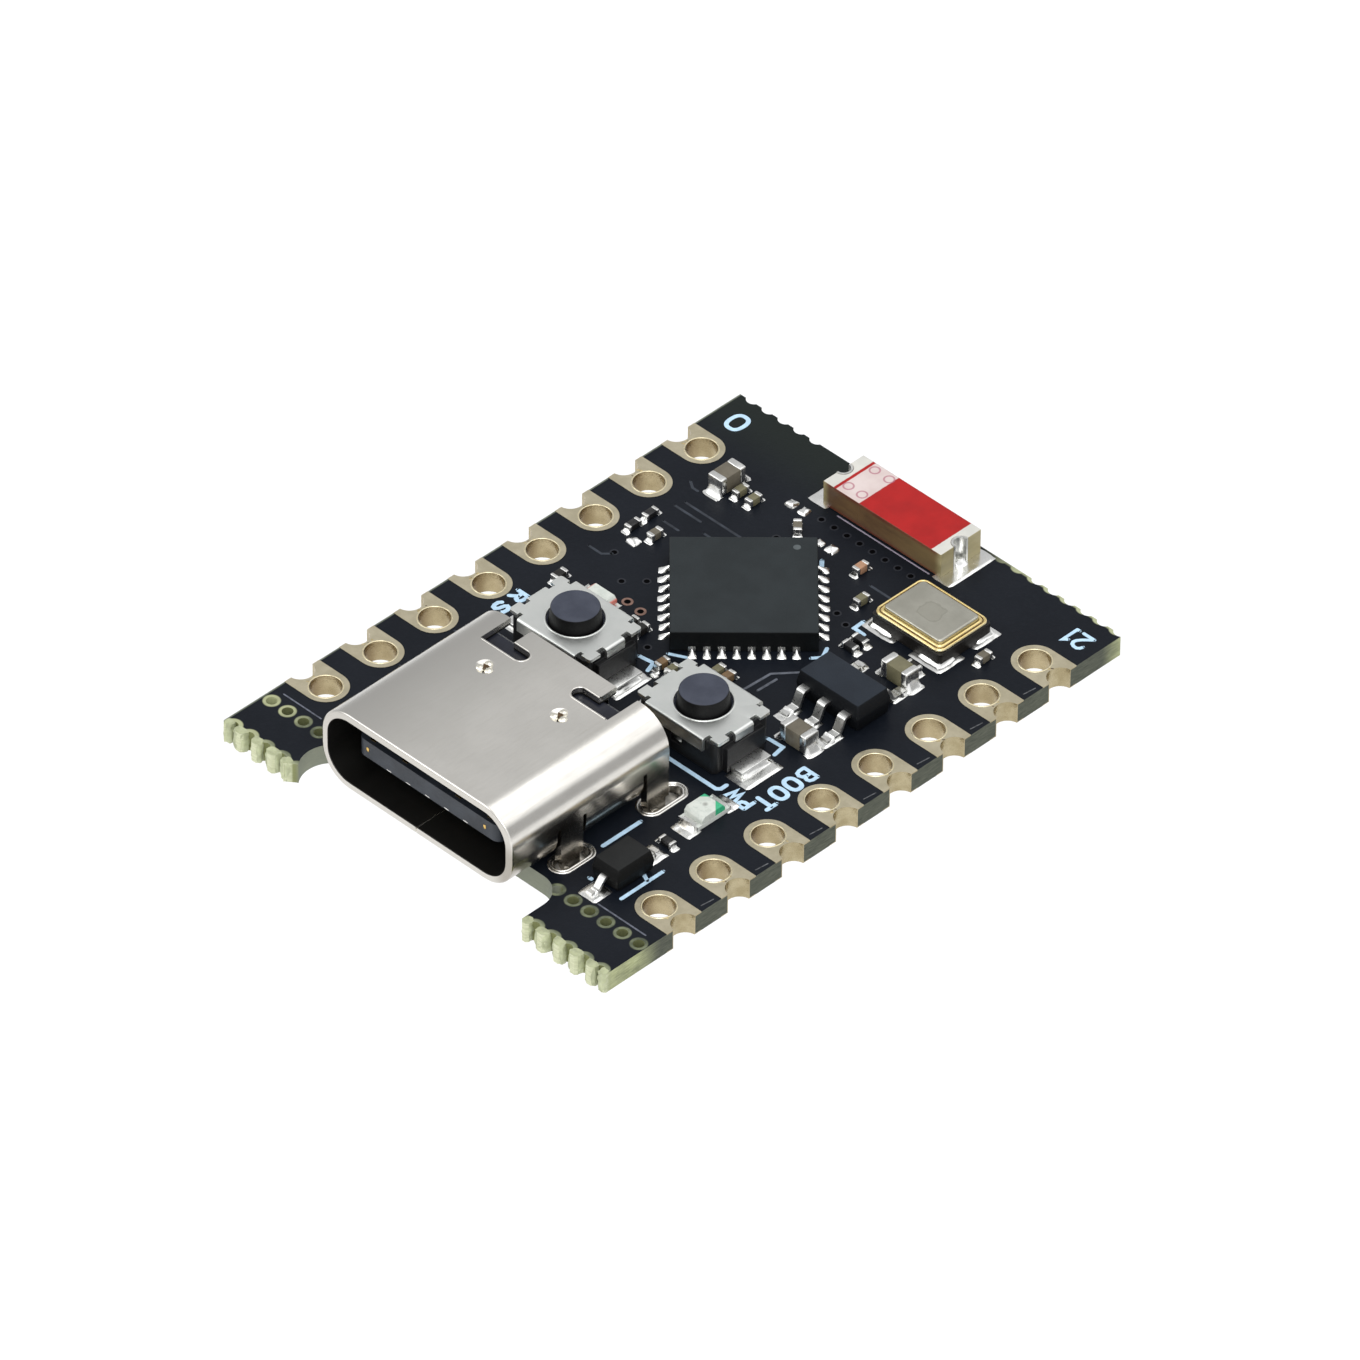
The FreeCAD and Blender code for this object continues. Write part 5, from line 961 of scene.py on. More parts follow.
# ------------------------------------------------------------------ solder beds and fillets
for i, (dx, dy) in enumerate(((-1, -1), (1, -1), (-1, 1), (1, 1))):
    pool(joints, 4.28 + dx * 1.1, 7.59 + dy * 0.88, TOP, 1.48, 1.28, 0.05, 0, 0, 20 + i, n=14, power=8, lump=0.4, corner=0.03)
    climb(joints, 4.28 + dx * 1.15, 7.59 + dy * 1.22, (0, dy), 1.05, 0.22, 0.16, TOP, 0, 24 + i, n=10)
    climb(joints, 4.28 + dx * 1.57, 7.59 + dy * 0.95, (dx, 0), 0.85, 0.2, 0.16, TOP, 0, 28 + i, n=10)
for dx, dy in ((-1, -1), (0, -1), (1, -1), (-1, 1), (1, 1)):
    reach = 0.84 if dy < 0 else 0.74
    cx, cy = 4.9 + dx * 0.95, 2.74 + dy * (0.8 + reach)
    pool(joints, cx, cy, TOP, 0.56, 0.94 if dy < 0 else 0.7, 0.06, 0, 0, 30 + dx * 3 + dy, n=12, power=6, lump=0.5, corner=0.04)
    climb(joints, cx, 2.74 + dy * (0.8 + 0.80), (0, dy), 0.5, 0.42, 0.2, TOP, 0, 40 + dx + dy, n=10, hollow=1.2)
for dy in (-1, 1):
    pool(joints, 5.85, -8.57 + dy * 1.3, TOP, 0.84, 0.86, 0.05, 0, 0, 50 + dy, n=12, power=8, lump=0.3, corner=0.03)
    climb(joints, 5.85, -8.57 + dy * (0.85 + 0.5), (0, dy), 0.4, 0.34, 0.16, TOP, 0, 52 + dy, n=10, hollow=1.2)
    pool(joints, 5.73, -4.6 + dy * 0.92, TOP, 0.9, 0.62, 0.06, 0, 0, 54 + dy, n=12, power=5, lump=0.6, corner=0.04)
    climb(joints, 5.68, -4.6 + dy * 0.79, (0, dy), 0.7, 0.26, 0.22, TOP, 0, 56 + dy, n=10)
    pool(joints, -4.5 + dy * 0.86, 0.5, TOP, 0.5, 0.86, 0.05, 0, 0, 58 + dy, n=10, power=5, lump=0.6, corner=0.04)
    climb(joints, -4.5 + dy * 0.79, 0.5, (dy, 0), 0.7, 0.2, 0.2, TOP, 0, 60 + dy, n=10)
    pool(joints, -0.13 + dy * 2.92, 10.7, TOP, 0.88, 2.26, 0.045, 0, 0, 62 + dy, n=16, power=10, lump=0.3, corner=0.02, edge=0.02)
    climb(joints, -0.13 + dy * 2.72, 10.7, (dy, 0), 0.5, 0.3, 0.2, TOP, 0, 64 + dy, n=14, hollow=1.6)
    for cx, side in ((-3.3, "reset"), (2.73, "boot")):
        off, wide = (2.38, 0.86) if side == "reset" else ((2.52, 1.1) if dy > 0 else (2.3, 0.7))
        py, ly = (-1.84, 1.72) if (side == "boot" and dy > 0) else (-1.68, 1.66)
        pool(joints, cx + dy * off, py, TOP, wide, ly, 0.05, 0, 0, 66 + dy + (5 if side == "boot" else 0), n=16, power=9, lump=0.18, corner=0.02, edge=0.03)
        climb(joints, cx + dy * 2.53, -1.72, (dy, 0), 1.3, 0.2, 0.17, TOP, 0, 70 + dy, n=12, hollow=1.5)
for i, x in enumerate((-3.2, -2.4, -1.75, -1.25, -0.75, -0.25, 0.25, 0.75, 1.25, 1.75, 2.4, 3.2)):
    pool(joints, -0.36 + x, -4.2, TOP, 0.3, 0.7, 0.05, 0, 0, 80 + i, n=8, power=5, lump=0.6)
for i, (x, y, lx, ly, h) in enumerate(
    ((-3.62, 8.97, 0.42, 0.42, 0.16), (-3.04, 8.97, 0.38, 0.42, 0.14), (-1.5, 8.17, 0.34, 0.3, 0.12), (-0.98, 8.2, 0.44, 0.42, 0.15),
     (-5.98, 3.76, 0.46, 0.42, 0.16), (-0.56, -0.71, 0.3, 0.22, 0.1))
):
    pool(joints, x, y, TOP, lx, ly, h, 0, 0, 100 + i, n=12, power=2.2, lump=0.5)
joints.make("solder_look", ["solder"], replaces=["component_solder"], angle=60)

# fillets round the turned chip: narrow at the wall, wider and rounded at the foot
fil = Build()
c45 = math.sqrt(0.5)
for side in range(4):
    a = math.radians(45 + 90 * side)
    ca, sa = math.cos(a), math.sin(a)
    for k in range(8):
        off = (k - 3.5) * 0.5
        jit = random.Random(side * 8 + k)
        w1, w0 = 0.15 + jit.uniform(-0.015, 0.015), 0.085 + jit.uniform(-0.015, 0.015)
        reach = 0.38 + jit.uniform(-0.02, 0.02)
        verts, faces = [], []
        rows = [(0.0, 0.215, w0 * 0.8), (0.05, 0.205, w0 * 0.95), (0.12, 0.165, w0 * 1.35), (0.2, 0.115, w1 * 0.95),
                (0.28, 0.085, w1), (0.34, 0.05, w1 * 1.02), (reach, 0.0, w1 * 0.9)]
        cols = [-1.0, -0.8, -0.45, 0.0, 0.45, 0.8, 1.0]
        drop = [1.0, 0.5, 0.12, 0.0, 0.12, 0.5, 1.0]
        for s, h, w in rows:
            for c, d in zip(cols, drop):
                px, py = off + c * w, -(2.5 + s)
                verts.append((-1.08 + px * ca - py * sa, 4.08 + px * sa + py * ca, TOP + h * (1 - d)))
        nc = len(cols)
        for i in range(len(rows) - 1):
            for j in range(nc - 1):
                q = i * nc + j
                faces.append((q, q + nc, q + nc + 1, q + 1))
        fil.add(verts, faces, 0)
fil.make("chip_solder_look", ["solder"], replaces=["main_chip_solder"], angle=60)

# solder pooled in the leg slots, a little dished and uneven; the fill takes a darker copy of the solder as painted
# shade, with a bright hump of plain solder
leg = Build()
for i, (x, y, l) in enumerate(((4.1, -9.22, 1.46), (4.1, -5.0, 1.66), (-4.82, -9.22, 1.46), (-4.82, -5.0, 1.66))):
    n, m = 18, 8
    verts, faces = [], []
    for a in range(n + 1):
        v = a / n * 2 - 1
        py = v * l / 2
        r = 0.31
        over = max(0.0, abs(py) - (l / 2 - r))
        half = math.sqrt(max(r * r - over * over, 0.0))
        for c in range(m + 1):
            u = c / m * 2 - 1
            near = (1 - u * (1 if x > 0 else -1)) / 2
            dish = 0.22 + 0.10 * abs(u) ** 3 + 0.34 * near ** 1.5 * (0.35 + 0.65 * math.cos(v * 1.4)) + 0.012 * noise.noise(Vector((u + i * 3, py * 1.5, i * 1.3)))
            verts.append((x + u * half * 0.99, y + py, min(dish, 0.72)))
    for a in range(n):
        for c in range(m):
            q = a * (m + 1) + c
            faces.append((q, q + 1, q + m + 2, q + m + 1))
    leg.add(verts, faces, 0)
    out_ward = 1 if x > 0 else -1
    pool(leg, x + out_ward * 0.1, y - l * 0.16, 0.26, 0.26, 0.5, 0.26, 1, 8 * out_ward, 9 + i, n=14, power=2.0, lump=0.1, edge=0.03)
    # underside, just below the tips of the legs
    low = [(vx, vy, 0.008) for vx, vy, _ in verts]
    leg.add(low, [f[::-1] for f in faces], 0)
leg.make("leg_solder_look", ["slot_solder", "solder"], replaces=["leg_slot_solder"], slot="solder", angle=60)
# rounded tin beads along the mouth of each slot, in a lighter copy of the tin as painted highlight
ring_bead = Build()
for x, y, l in ((4.1, -9.22, 1.46), (4.1, -5.0, 1.66), (-4.82, -9.22, 1.46), (-4.82, -5.0, 1.66)):
    for r, tube, h in ((0.36, 0.045, 0.03), (0.47, 0.05, 0.035)):
        path = []
        for k in range(25):
            a = math.pi * k / 24
            path.append((r * math.cos(a), l / 2 - 0.31 + r * math.sin(a), math.cos(a), math.sin(a)))
        for k in range(25):
            a = math.pi + math.pi * k / 24
            path.append((r * math.cos(a), -(l / 2 - 0.31) + r * math.sin(a), math.cos(a), math.sin(a)))
        verts, faces, m, n = [], [], 6, len(path)
        for px, py, nx, ny in path:
            for q in range(m + 1):
                a = math.pi * q / m
                verts.append((x + px + nx * tube * math.cos(a), y + py + ny * tube * math.cos(a), TOP + 0.012 + h * math.sin(a)))
        for i in range(n):
            j = (i + 1) % n
            for q in range(m):
                faces.append((i * (m + 1) + q, j * (m + 1) + q, j * (m + 1) + q + 1, i * (m + 1) + q + 1))
        ring_bead.add(verts, faces, 0)
ring_bead.make("leg_slot_beads", ["slot_rim_highlight"], slot="slot_tin", angle=70)


# ------------------------------------------------------------------ gull-wing leads with rounded bends
def gull(b, x, y0, sign, wide, knee, reach, foot, thick=0.13, bend=0.2):
    corners = [(-0.1, knee), (bend, knee), (reach - foot, SEAT + thick), (reach, SEAT + thick)]
    path = [corners[0]]
    for (p, q, c), r in ((corners[0:3], 0.17), (corners[1:4], 0.06)):
        p, q, c = Vector(p), Vector(q), Vector(c)
        a, d = (p - q).normalized(), (c - q).normalized()
        t = r * math.tan((math.pi - a.angle(d)) / 2)
        s0, s1 = q + a * t, q + d * t
        for k in range(6):
            f = k / 5
            path.append(tuple((s0 * (1 - f) + q * f) * (1 - f) + (q * (1 - f) + s1 * f) * f))
    path += [(reach - 0.02, SEAT + thick), (reach, SEAT + thick - 0.02)]
    low = []
    n = len(path)
    for i in range(n):
        a = path[max(i - 1, 0)]
        c = path[min(i + 1, n - 1)]
        dx, dz = c[0] - a[0], c[1] - a[1]
        l = math.hypot(dx, dz)
        nx, nz = dz / l, -dx / l
        low.append((path[i][0] + nx * thick, path[i][1] + nz * thick))
    low[-1] = (reach, SEAT)
    low[-2] = (reach - 0.02, SEAT)
    verts, faces = [], []
    e = 0.02
    ring = lambda p, q: [(-wide / 2 + e, p), (wide / 2 - e, p), (wide / 2, None), (wide / 2 - e, q), (-wide / 2 + e, q), (-wide / 2, None)]
    for p, q in zip(path, low):
        mid = ((p[0] + q[0]) / 2, (p[1] + q[1]) / 2)
        for w, pt in ((-wide / 2 + e, p), (wide / 2 - e, p), (wide / 2, mid), (wide / 2 - e, q), (-wide / 2 + e, q), (-wide / 2, mid)):
            verts.append((x + w, y0 + sign * pt[0], pt[1]))
    for i in range(n - 1):
        for k in range(6):
            j = (k + 1) % 6
            f = (i * 6 + k, i * 6 + j, (i + 1) * 6 + j, (i + 1) * 6 + k)
            faces.append(f if sign > 0 else f[::-1])
    tail = tuple((n - 1) * 6 + k for k in range(6))
    faces.append(tail if sign > 0 else tail[::-1])
    b.add(verts, faces, 0)


gl = Build()
for dx, sign in ((-0.95, -1), (0, -1), (0.95, -1), (-0.95, 1), (0.95, 1)):
    gull(gl, 4.9 + dx, 2.74 + sign * 0.8, sign, 0.38, SEAT + 0.67, 1.08, 0.56, bend=0.26)
gl.make("regulator_lead_look", ["lead_tin"], replaces=["regulator_leads"])
gd = Build()
for sign in (-1, 1):
    gull(gd, 5.85, -8.57 + sign * 0.85, sign, 0.3, SEAT + 0.47, 0.74, 0.34, bend=0.12)
gd.make("diode_lead_look", ["lead_tin"], replaces=["diode_leads"])

# ------------------------------------------------------------------ print
GLYPH = {
    "0": [[(0.5 + 0.5 * math.copysign(abs(math.cos(a)) ** 0.8, math.cos(a)), 0.5 + 0.5 * math.copysign(abs(math.sin(a)) ** 0.8, math.sin(a)))
           for a in [2 * math.pi * k / 28 for k in range(28)]], "loop"],
    "2": [[(0.04, 0.74), (0.12, 0.9), (0.3, 1.0), (0.56, 1.0), (0.8, 0.92), (0.9, 0.76), (0.84, 0.6), (0.6, 0.38), (0.3, 0.18), (0.02, 0.0)],
          [(0.02, 0.0), (0.98, 0.0)]],
    "1": [[(0.22, 0.82), (0.5, 1.0), (0.5, 0.0)], [(0.3, 0.0), (0.5, 0.0)]],
    "B": [[(0, 0), (0, 1)], [(0, 1), (0.5, 1), (0.74, 0.93), (0.82, 0.78), (0.74, 0.62), (0.5, 0.54), (0, 0.54)],
          [(0.5, 0.54), (0.8, 0.46), (0.92, 0.28), (0.8, 0.07), (0.5, 0), (0, 0)]],
    "T": [[(0, 1), (1, 1)], [(0.5, 1), (0.5, 0)]],
    "P": [[(0, 0), (0, 1)], [(0, 1), (0.6, 1), (0.88, 0.92), (0.95, 0.76), (0.86, 0.58), (0.6, 0.48), (0, 0.48)]],
    "W": [[(0, 1), (0.24, 0), (0.5, 0.72), (0.76, 0), (1, 1)]],
    "R": [[(0, 0), (0, 1)], [(0, 1), (0.6, 1), (0.86, 0.92), (0.92, 0.76), (0.84, 0.58), (0.6, 0.48), (0, 0.48)], [(0.5, 0.48), (0.95, 0)]],
    "S": [[(0.94, 0.84), (0.74, 0.98), (0.4, 1.0), (0.12, 0.9), (0.06, 0.7), (0.25, 0.56), (0.72, 0.45), (0.93, 0.3), (0.88, 0.1), (0.62, 0.0),
           (0.28, 0.0), (0.04, 0.16)]],
}
GLYPH["O"] = GLYPH["0"]
ink = Build()


def letter(ch, corner, ex, ey, w, h, stroke):
    """corner is the lower left of the letter, ex and ey its own axes."""
    lines = GLYPH[ch]
    loop = lines[-1] == "loop"
    for k, line in enumerate(l for l in lines if l != "loop"):
        pts = [(corner[0] + ex[0] * u * w + ey[0] * v * h, corner[1] + ex[1] * u * w + ey[1] * v * h) for u, v in line]
        strip(ink, pts, stroke, TOP, 0.012 + 0.0006 * k, 0, closed=loop)


letter("0", (-8.28, 10.35), (1, 0), (0, 1), 0.6, 0.8, 0.16)
letter("2", (8.52, 11.07), (-1, 0), (0, -1), 0.5, 0.72, 0.13)
letter("1", (7.98, 11.07), (-1, 0), (0, -1), 0.5, 0.72, 0.13)
for ch, y in (("B", -0.52), ("O", -1.16), ("O", -1.82), ("T", -2.48)):
    letter(ch, (6.28, y), (0, -1), (1, 0), 0.46 if ch == "B" else 0.44, 0.64, 0.14 if ch == "B" else 0.165)
letter("P", (6.36, -2.93), (-1, 0), (0, -1), 0.36, 0.5, 0.15)
letter("W", (5.88, -2.93), (-1, 0), (0, -1), 0.46, 0.5, 0.15)
letter("R", (-6.92, -0.8), (0, -1), (1, 0), 0.44, 0.5, 0.16)
letter("S", (-6.92, -1.62), (0, -1), (1, 0), 0.44, 0.5, 0.16)
for pts, w in (
    ([(2.7, -3.36), (4.98, -3.36), (5.1, -3.24), (5.1, -2.98)], 0.16),
    ([(4.4, -6.3), (4.4, -8.05)], 0.16),
    ([(6.7, -7.55), (6.7, -9.5)], 0.14),
    ([(6.66, -8.25), (6.36, -8.12)], 0.14),
    ([(5.22, -9.5), (5.3, -9.5)], 0.16),
    ([(2.40, 6.26), (2.42, 5.80), (2.89, 5.79)], 0.15),
    ([(-1.63, -0.34), (-1.03, -0.26), (-0.89, -0.67)], 0.15),
    ([(4.36, -0.31), (5.05, -0.27), (5.13, -0.75)], 0.15),
    ([(-0.82, 7.56), (-0.56, 7.28)], 0.16),
    ([(-1.03, 0.43), (-0.45, 0.73)], 0.13),
    ([(2.50, 3.66), (2.74, 3.97), (2.52, 4.40)], 0.14),
):
    strip(ink, pts, w, TOP, 0.012)
ink.make("printed_legends", ["silk"], slot="board", angle=50)

# thin pale marks on the mask: panel lines, a line along the antenna and short scuffs
marks = Build()
for pts, w in (
    ([(-8.57, -10.15), (-6.78, -10.15)], 0.055), ([(6.32, -10.22), (8.54, -10.22)], 0.06),
):
    strip(marks, pts, w, TOP, 0.006, 0)
strip(marks, [(-2.1, 9.62), (2.2, 9.62)], 0.055, TOP, 0.006, 1)
for y in (-7.62, -5.08, -2.54, 0.0, 2.54, 5.08, 7.62):
    strip(marks, [(8.78, y - 0.26), (8.81, y), (8.84, y + 0.26)], 0.04, TOP, 0.006, 2)
marks.make("mask_scuffs", ["scuff", "scuff_pale", "scuff_dash"], slot="board", angle=50)

# etched lines under the mask, seen as faint ridges; a few take a lighter colour as painted highlight
tr = Build()
for pts in (
    [(-6.22, 6.48), (-3.5, 6.48)], [(-6.36, 6.11), (-5.14, 6.11)], [(-6.05, 5.25), (-5.35, 5.25)], [(-4.62, 5.75), (-4.08, 5.75)],
    [(1.25, 7.78), (2.35, 7.78)], [(-6.9, 2.54), (-6.3, 2.54), (-6.05, 2.8)], [(-6.9, 7.4), (-6.6, 7.2), (-6.35, 7.2)],
    [(-6.9, -3.8), (-6.2, -3.8), (-5.9, -4.1), (-5.9, -5.4)],
    [(-6.9, -6.35), (-6.2, -6.35), (-5.8, -6.75), (-5.8, -8.6)],
):
    strip(tr, pts, 0.1, TOP, 0.004, 0)
for pts in ([(2.04, 0.82), (2.11, 2.13), (2.74, 2.87)], [(2.41, 1.2), (2.45, 2.06)]):
    strip(tr, pts, 0.1, TOP, 0.005, 1)
tr.make("etched_lines", ["trace", "trace_lit"], slot="board", angle=50)

# vias: copper or mask rings round a near-black disc, the hole as painted shade
vias = Build()
for x, y in ((-3.9, 1.38), (-3.23, 1.33)):
    annulus(vias, x, y, TOP + 0.008, 0.115, 0.205, 0, h=0.008)
    disc(vias, x, y, TOP + 0.002, 0.125, 1)
for x, y in ((-6.05, 2.9), (-4.8, 2.0), (-4.2, 2.6), (-1.75, 0.18), (-2.75, 7.33), (1.47, 5.95), (2.09, 5.73),
             (-2.35, 9.1), (-1.75, 9.1), (-1.15, 9.1), (-0.55, 9.1), (0.05, 9.1), (0.65, 9.1), (1.25, 9.1), (1.85, 9.1)):
    annulus(vias, x, y, TOP + 0.004, 0.1, 0.16, 2, h=0.004)
    disc(vias, x, y, TOP + 0.0015, 0.11, 1)
vias.make("via_rings", ["via_copper", "via_hole_shade", "via_mask"], slot="board", angle=50)

# pin-one dot of the chip
dot = Build()
annulus(dot, -1.18, 6.72, SEAT + 0.85 + 0.002, 0.0, 0.13, 0, h=0.004)
dot.make("chip_dot", ["dot"], slot="chip_black")

# ------------------------------------------------------------------ weld marks on the port
weld = Build()
for sx in (-1.78, 1.72):
    cx, cy, z = -0.36 + sx, -7.02, 4.0
    for k in range(3):
        a = math.radians(90 + 120 * k + 15)
        px, py = cx + 0.2 * math.cos(a), cy + 0.2 * math.sin(a)
        r, rings, n = 0.19, 6, 20
        verts = [(px, py, z + 0.045)]
        faces = []
        for q in range(1, rings + 1):
            f = q / rings
            for s in range(n):
                b2 = 2 * math.pi * s / n
                rr = r * f * (1 + 0.12 * noise.noise(Vector((math.cos(b2) * 2 + k * 3, math.sin(b2) * 2, sx))))
                verts.append((px + rr * math.cos(b2), py + rr * math.sin(b2), z + 0.045 * math.cos(f * math.pi / 2) - 0.10 * f ** 4))
        for s in range(n):
            faces.append((0, 1 + s, 1 + (s + 1) % n))
        for q in range(rings - 1):
            for s in range(n):
                a0, a1 = 1 + q * n + s, 1 + q * n + (s + 1) % n
                faces.append((a0, a0 + n, a1 + n, a1))
        weld.add(verts, faces, 0)
    # dark pit between the lobes
    pit = [(cx + 0.17 * math.cos(math.radians(45 + 120 * k)), cy + 0.17 * math.sin(math.radians(45 + 120 * k)), z + 0.012) for k in range(3)]
    mid = [((pit[k][0] + pit[(k + 1) % 3][0]) / 2, (pit[k][1] + pit[(k + 1) % 3][1]) / 2, z + 0.02) for k in range(3)]
    weld.add(pit + mid + [(cx, cy, z + 0.016)], [(0, 3, 6), (3, 1, 6), (1, 4, 6), (4, 2, 6), (2, 5, 6), (5, 0, 6)], 1)
weld.make("weld_marks", ["weld", "burr_dark"], slot="port_metal", angle=70)

# rolled edges of the two slots beside the rear flap
roll = Build()
for sign in (-1, 1):
    path = [(2.9, -6.08 - 0.0, 0, -1)]
    path += [(2.9 - 1.51 * k / 6, -6.08, 0, -1) for k in range(1, 6)]
    path += [(1.39 - 0.31 * math.sin(math.pi * k / 16), -5.77 - 0.31 * math.cos(math.pi * k / 16),
              -math.sin(math.pi * k / 16), -math.cos(math.pi * k / 16)) for k in range(17)]
    path += [(1.39 + 0.6 * k / 3, -5.46, 0, 1) for k in range(1, 4)]
    verts, faces, m = [], [], 6
    for px, py, nx, ny in path:
        for q in range(m + 1):
            a = math.pi * q / m
            verts.append((-0.36 + sign * (px + nx * (0.02 + 0.035 * math.cos(a))), py + ny * (0.02 + 0.035 * math.cos(a)), 3.998 + 0.022 * math.sin(a)))
    for i in range(len(path) - 1):
        for q in range(m):
            f = (i * (m + 1) + q, (i + 1) * (m + 1) + q, (i + 1) * (m + 1) + q + 1, i * (m + 1) + q + 1)
            faces.append(f if sign > 0 else f[::-1])
    roll.add(verts, faces, 0)
roll.make("port_slot_edges", ["port_metal"], angle=70)

# small gilt ends of the middle plate on the tongue's front, and a row of small bits in the lighter tin copy as painted
# highlight
tips = Build()
front = min((NODES["port_insulator"].matrix_world @ v.co).y for v in NODES["port_insulator"].data.vertices) / MM
for tx in (-3.2, 2.3):
    rbox(tips, tx, front + 0.02, 2.33, 0.12, 0.09, 0.16, 0.025, 0, 0, 2)
for k in range(5):
    rbox(tips, -2.2 + k * 0.9, front + 0.03, 2.07, 0.22, 0.08, 0.03, 0.01, 1, 0, 2)
tips.make("tongue_tips", ["contact_gold", "slot_rim_highlight"], slot="contact_gold", angle=50)

# ------------------------------------------------------------------ bright bead round each pad hole in a lighter copy of the gold as painted highlight, and burr marks between pad hole and notch
burrs = Build()
rnd = random.Random(7)
for side in (-1, 1):
    for i in range(8):
        y = (i - 3.5) * 2.54
        verts, faces, n, m = [], [], 40, 5
        for a in range(n):
            ca, sa = math.cos(2 * math.pi * a / n), math.sin(2 * math.pi * a / n)
            for b2 in range(m + 1):
                q = math.pi * b2 / m
                rr = 0.592 - 0.026 * math.cos(q)
                verts.append((side * 7.845 + rr * ca, y + rr * sa, TOP + 0.013 + 0.016 * math.sin(q)))
        for a in range(n):
            a2 = (a + 1) % n
            for b2 in range(m):
                faces.append((a * (m + 1) + b2, a * (m + 1) + b2 + 1, a2 * (m + 1) + b2 + 1, a2 * (m + 1) + b2))
        burrs.add(verts, faces, 0)
        x = side * (8.47 + rnd.uniform(-0.03, 0.03))
        for k in range(2):
            bx, by = x + rnd.uniform(-0.08, 0.06), y + rnd.uniform(-0.26, 0.26)
            pool(burrs, bx, by, TOP + 0.014, rnd.uniform(0.08, 0.16), rnd.uniform(0.05, 0.1), rnd.uniform(0.006, 0.015), 1,
                 rnd.uniform(0, 90), i * 7 + k + side, n=6)
        bx, by = x + rnd.uniform(-0.04, 0.06), y + rnd.uniform(-0.2, 0.24)
        pool(burrs, bx, by, TOP + 0.015, rnd.uniform(0.05, 0.12), rnd.uniform(0.03, 0.05), 0.008, 2, rnd.uniform(20, 80), i * 5 + side, n=6)
burrs.make("pad_rims", ["pad_rim_highlight", "burr", "burr_dark"], slot="gold_pads", angle=60)

# ------------------------------------------------------------------ frayed snap-off stubs
fray = Build()
for k, (x, hx, lean) in enumerate((
    (-8.22, 0.26, 0.05), (-7.46, 0.25, -0.04), (-6.70, 0.27, 0.06), (6.02, 0.25, 0.05), (6.78, 0.27, -0.05), (7.54, 0.25, 0.06), (8.30, 0.26, -0.03),
    (-8.80, 0.19, 0.0), (5.30, 0.17, 0.0), (8.83, 0.16, 0.0), (-6.05, 0.2, 0.05),
)):
    lobe(fray, x, -12.44 + 0.02 * (k % 3), hx, 0.17, 0.005, 0.812, 0, k + 3, lean, wob=0.026)
fray.make("stub_fray", ["fray"], slot="board", angle=60)

# ------------------------------------------------------------------ stage, light and camera
floor_mesh = bpy.data.meshes.new("floor")
S = 3.0
floor_mesh.from_pydata([(-S, -S, -0.06), (S, -S, -0.06), (S, S, -0.06), (-S, S, -0.06)], [], [(0, 1, 2, 3)])
floor = bpy.data.objects.new("floor", floor_mesh)
bpy.context.scene.collection.objects.link(floor)
ft = Tree("floor_pale", 0.0, 0.9, Specular_IOR_Level=0.0)
ft.colour(ft.mix(ft.ramp(ft.noise(0.01, 2.0), 0.3, 0.7), (0.93, 0.93, 0.93, 1), (0.95, 0.95, 0.95, 1)))
side = ft.nt.nodes.new("ShaderNodeNewGeometry")
clear = ft.nt.nodes.new("ShaderNodeBsdfTransparent")
one_way = ft.nt.nodes.new("ShaderNodeMixShader")
ft.link(side.outputs["Backfacing"], one_way.inputs[0])
ft.link(ft.bsdf.outputs[0], one_way.inputs[1])
ft.link(clear.outputs[0], one_way.inputs[2])
ft.link(one_way.outputs[0], ft.out.inputs[0])
floor_mesh.materials.append(ft.mat)

world = bpy.data.worlds.new("studio")
bpy.context.scene.world = world
world.use_nodes = True
wt = world.node_tree
bg = wt.nodes["Background"]
where = wt.nodes.new("ShaderNodeTexCoord")
dot = wt.nodes.new("ShaderNodeVectorMath")
dot.operation = "DOT_PRODUCT"
dot.inputs[1].default_value = (-0.55, 0.56, 0.62)
fall = wt.nodes.new("ShaderNodeMapRange")
fall.interpolation_type = "SMOOTHSTEP"
fall.inputs["From Min"].default_value = 0.45
fall.inputs["From Max"].default_value = 0.95
fall.inputs["To Min"].default_value = 0.95
fall.inputs["To Max"].default_value = 0.60
side_dot = wt.nodes.new("ShaderNodeVectorMath")
side_dot.operation = "DOT_PRODUCT"
side_dot.inputs[1].default_value = (0.81, 0.55, 0.20)
side_fall = wt.nodes.new("ShaderNodeMapRange")
side_fall.interpolation_type = "SMOOTHSTEP"
side_fall.inputs["From Min"].default_value = 0.88
side_fall.inputs["From Max"].default_value = 0.99
side_fall.inputs["To Min"].default_value = 1.0
side_fall.inputs["To Max"].default_value = 0.45
both = wt.nodes.new("ShaderNodeMath")
both.operation = "MULTIPLY"
wt.links.new(where.outputs["Generated"], dot.inputs[0])
wt.links.new(where.outputs["Generated"], side_dot.inputs[0])
wt.links.new(dot.outputs["Value"], fall.inputs["Value"])
wt.links.new(side_dot.outputs["Value"], side_fall.inputs["Value"])
wt.links.new(fall.outputs[0], both.inputs[0])
wt.links.new(side_fall.outputs[0], both.inputs[1])
wt.links.new(both.outputs[0], bg.inputs["Strength"])
bg.inputs["Color"].default_value = (0.98, 0.985, 1.0, 1.0)


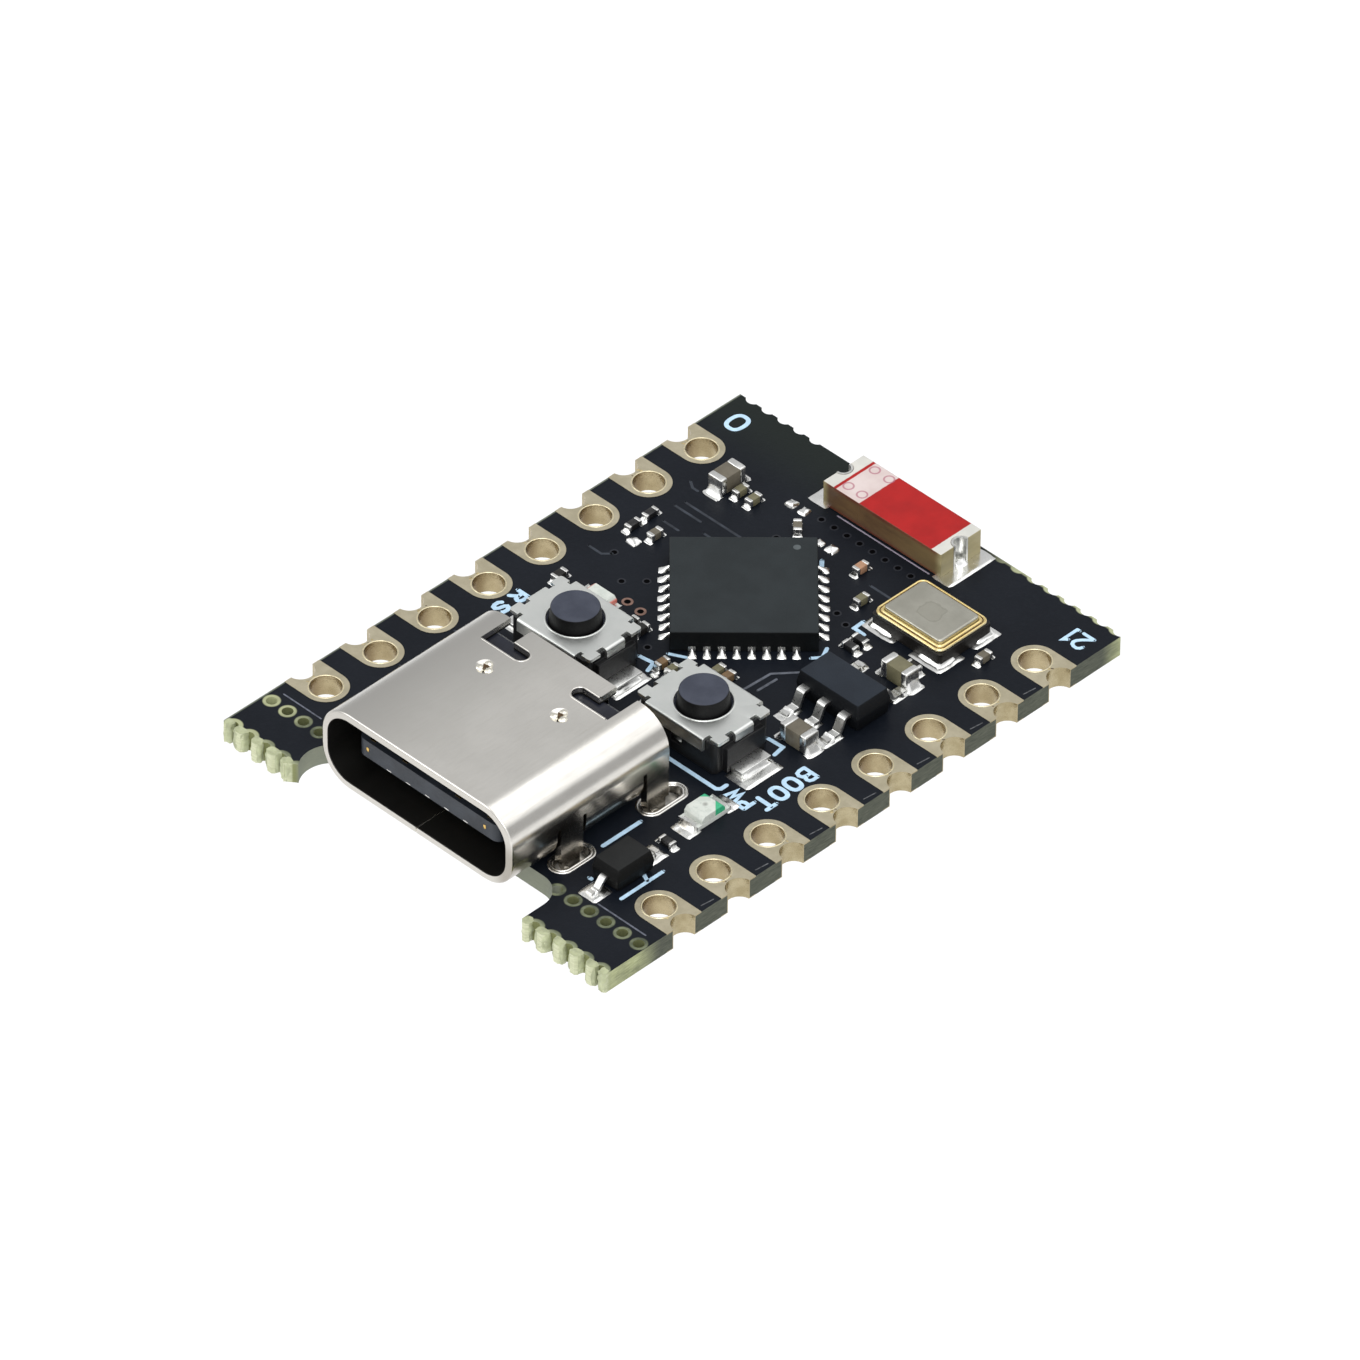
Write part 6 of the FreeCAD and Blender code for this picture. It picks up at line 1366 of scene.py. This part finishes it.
def soft_light(name, direction, dist, size, radiance, colour=(1, 1, 1)):
    d = Vector(direction).normalized()
    data = bpy.data.lights.new(name, "AREA")
    data.shape = "RECTANGLE"
    data.size, data.size_y = size
    data.energy = radiance * math.pi * size[0] * size[1]
    data.color = colour
    o = bpy.data.objects.new(name, data)
    bpy.context.scene.collection.objects.link(o)
    o.location = d * dist
    o.rotation_mode = "QUATERNION"
    o.rotation_quaternion = d.to_track_quat("Z", "Y")
    return o


soft_light("key_right_back", (0.50, 0.55, 0.67), 0.42, (0.22, 0.22), 0.35)
soft_light("fill_left_front", (-0.55, -0.65, 0.52), 0.42, (0.26, 0.22), 1.5)
soft_light("front_fill", (0.45, -0.50, 0.74), 0.46, (0.26, 0.26), 3.3)
soft_light("top_box", (-0.02, 0.30, 0.95), 0.45, (0.30, 0.30), 1.0)

cam_data = bpy.data.cameras.new("camera")
cam = bpy.data.objects.new("camera", cam_data)
bpy.context.scene.collection.objects.link(cam)
az, el, roll = math.radians(44.53), math.radians(40.20), math.radians(0.51)
focal, per_mm = 15439.0, 29.962
back = Vector((math.sin(az) * math.cos(el), -math.cos(az) * math.cos(el), math.sin(el)))
right = (-back).cross(Vector((0, 0, 1))).normalized()
upv = right.cross(-back).normalized()
r2 = math.cos(roll) * right + math.sin(roll) * upv
u2 = -math.sin(roll) * right + math.cos(roll) * upv
target = Vector((0, 0, 0.8 * MM))
dist = focal / per_mm * MM
rot = Matrix((r2, u2, back)).transposed().to_4x4()
cam.matrix_world = Matrix.Translation(target + back * dist) @ rot
cam_data.sensor_width = 36.0
cam_data.lens = focal / 1360.0 * 36.0
cam_data.shift_x = -(680.8 - 680.0) / 1360.0
cam_data.shift_y = (673.8 - 680.0) / 1360.0
cam_data.clip_start, cam_data.clip_end = 0.02, 20.0
cam_data.dof.use_dof = False
bpy.context.scene.camera = cam
bpy.context.scene.view_settings.view_transform = "Standard"
bpy.context.scene.view_settings.look = "None"
bpy.context.scene.view_settings.exposure = 0.0
bpy.context.scene.view_settings.gamma = 1.0
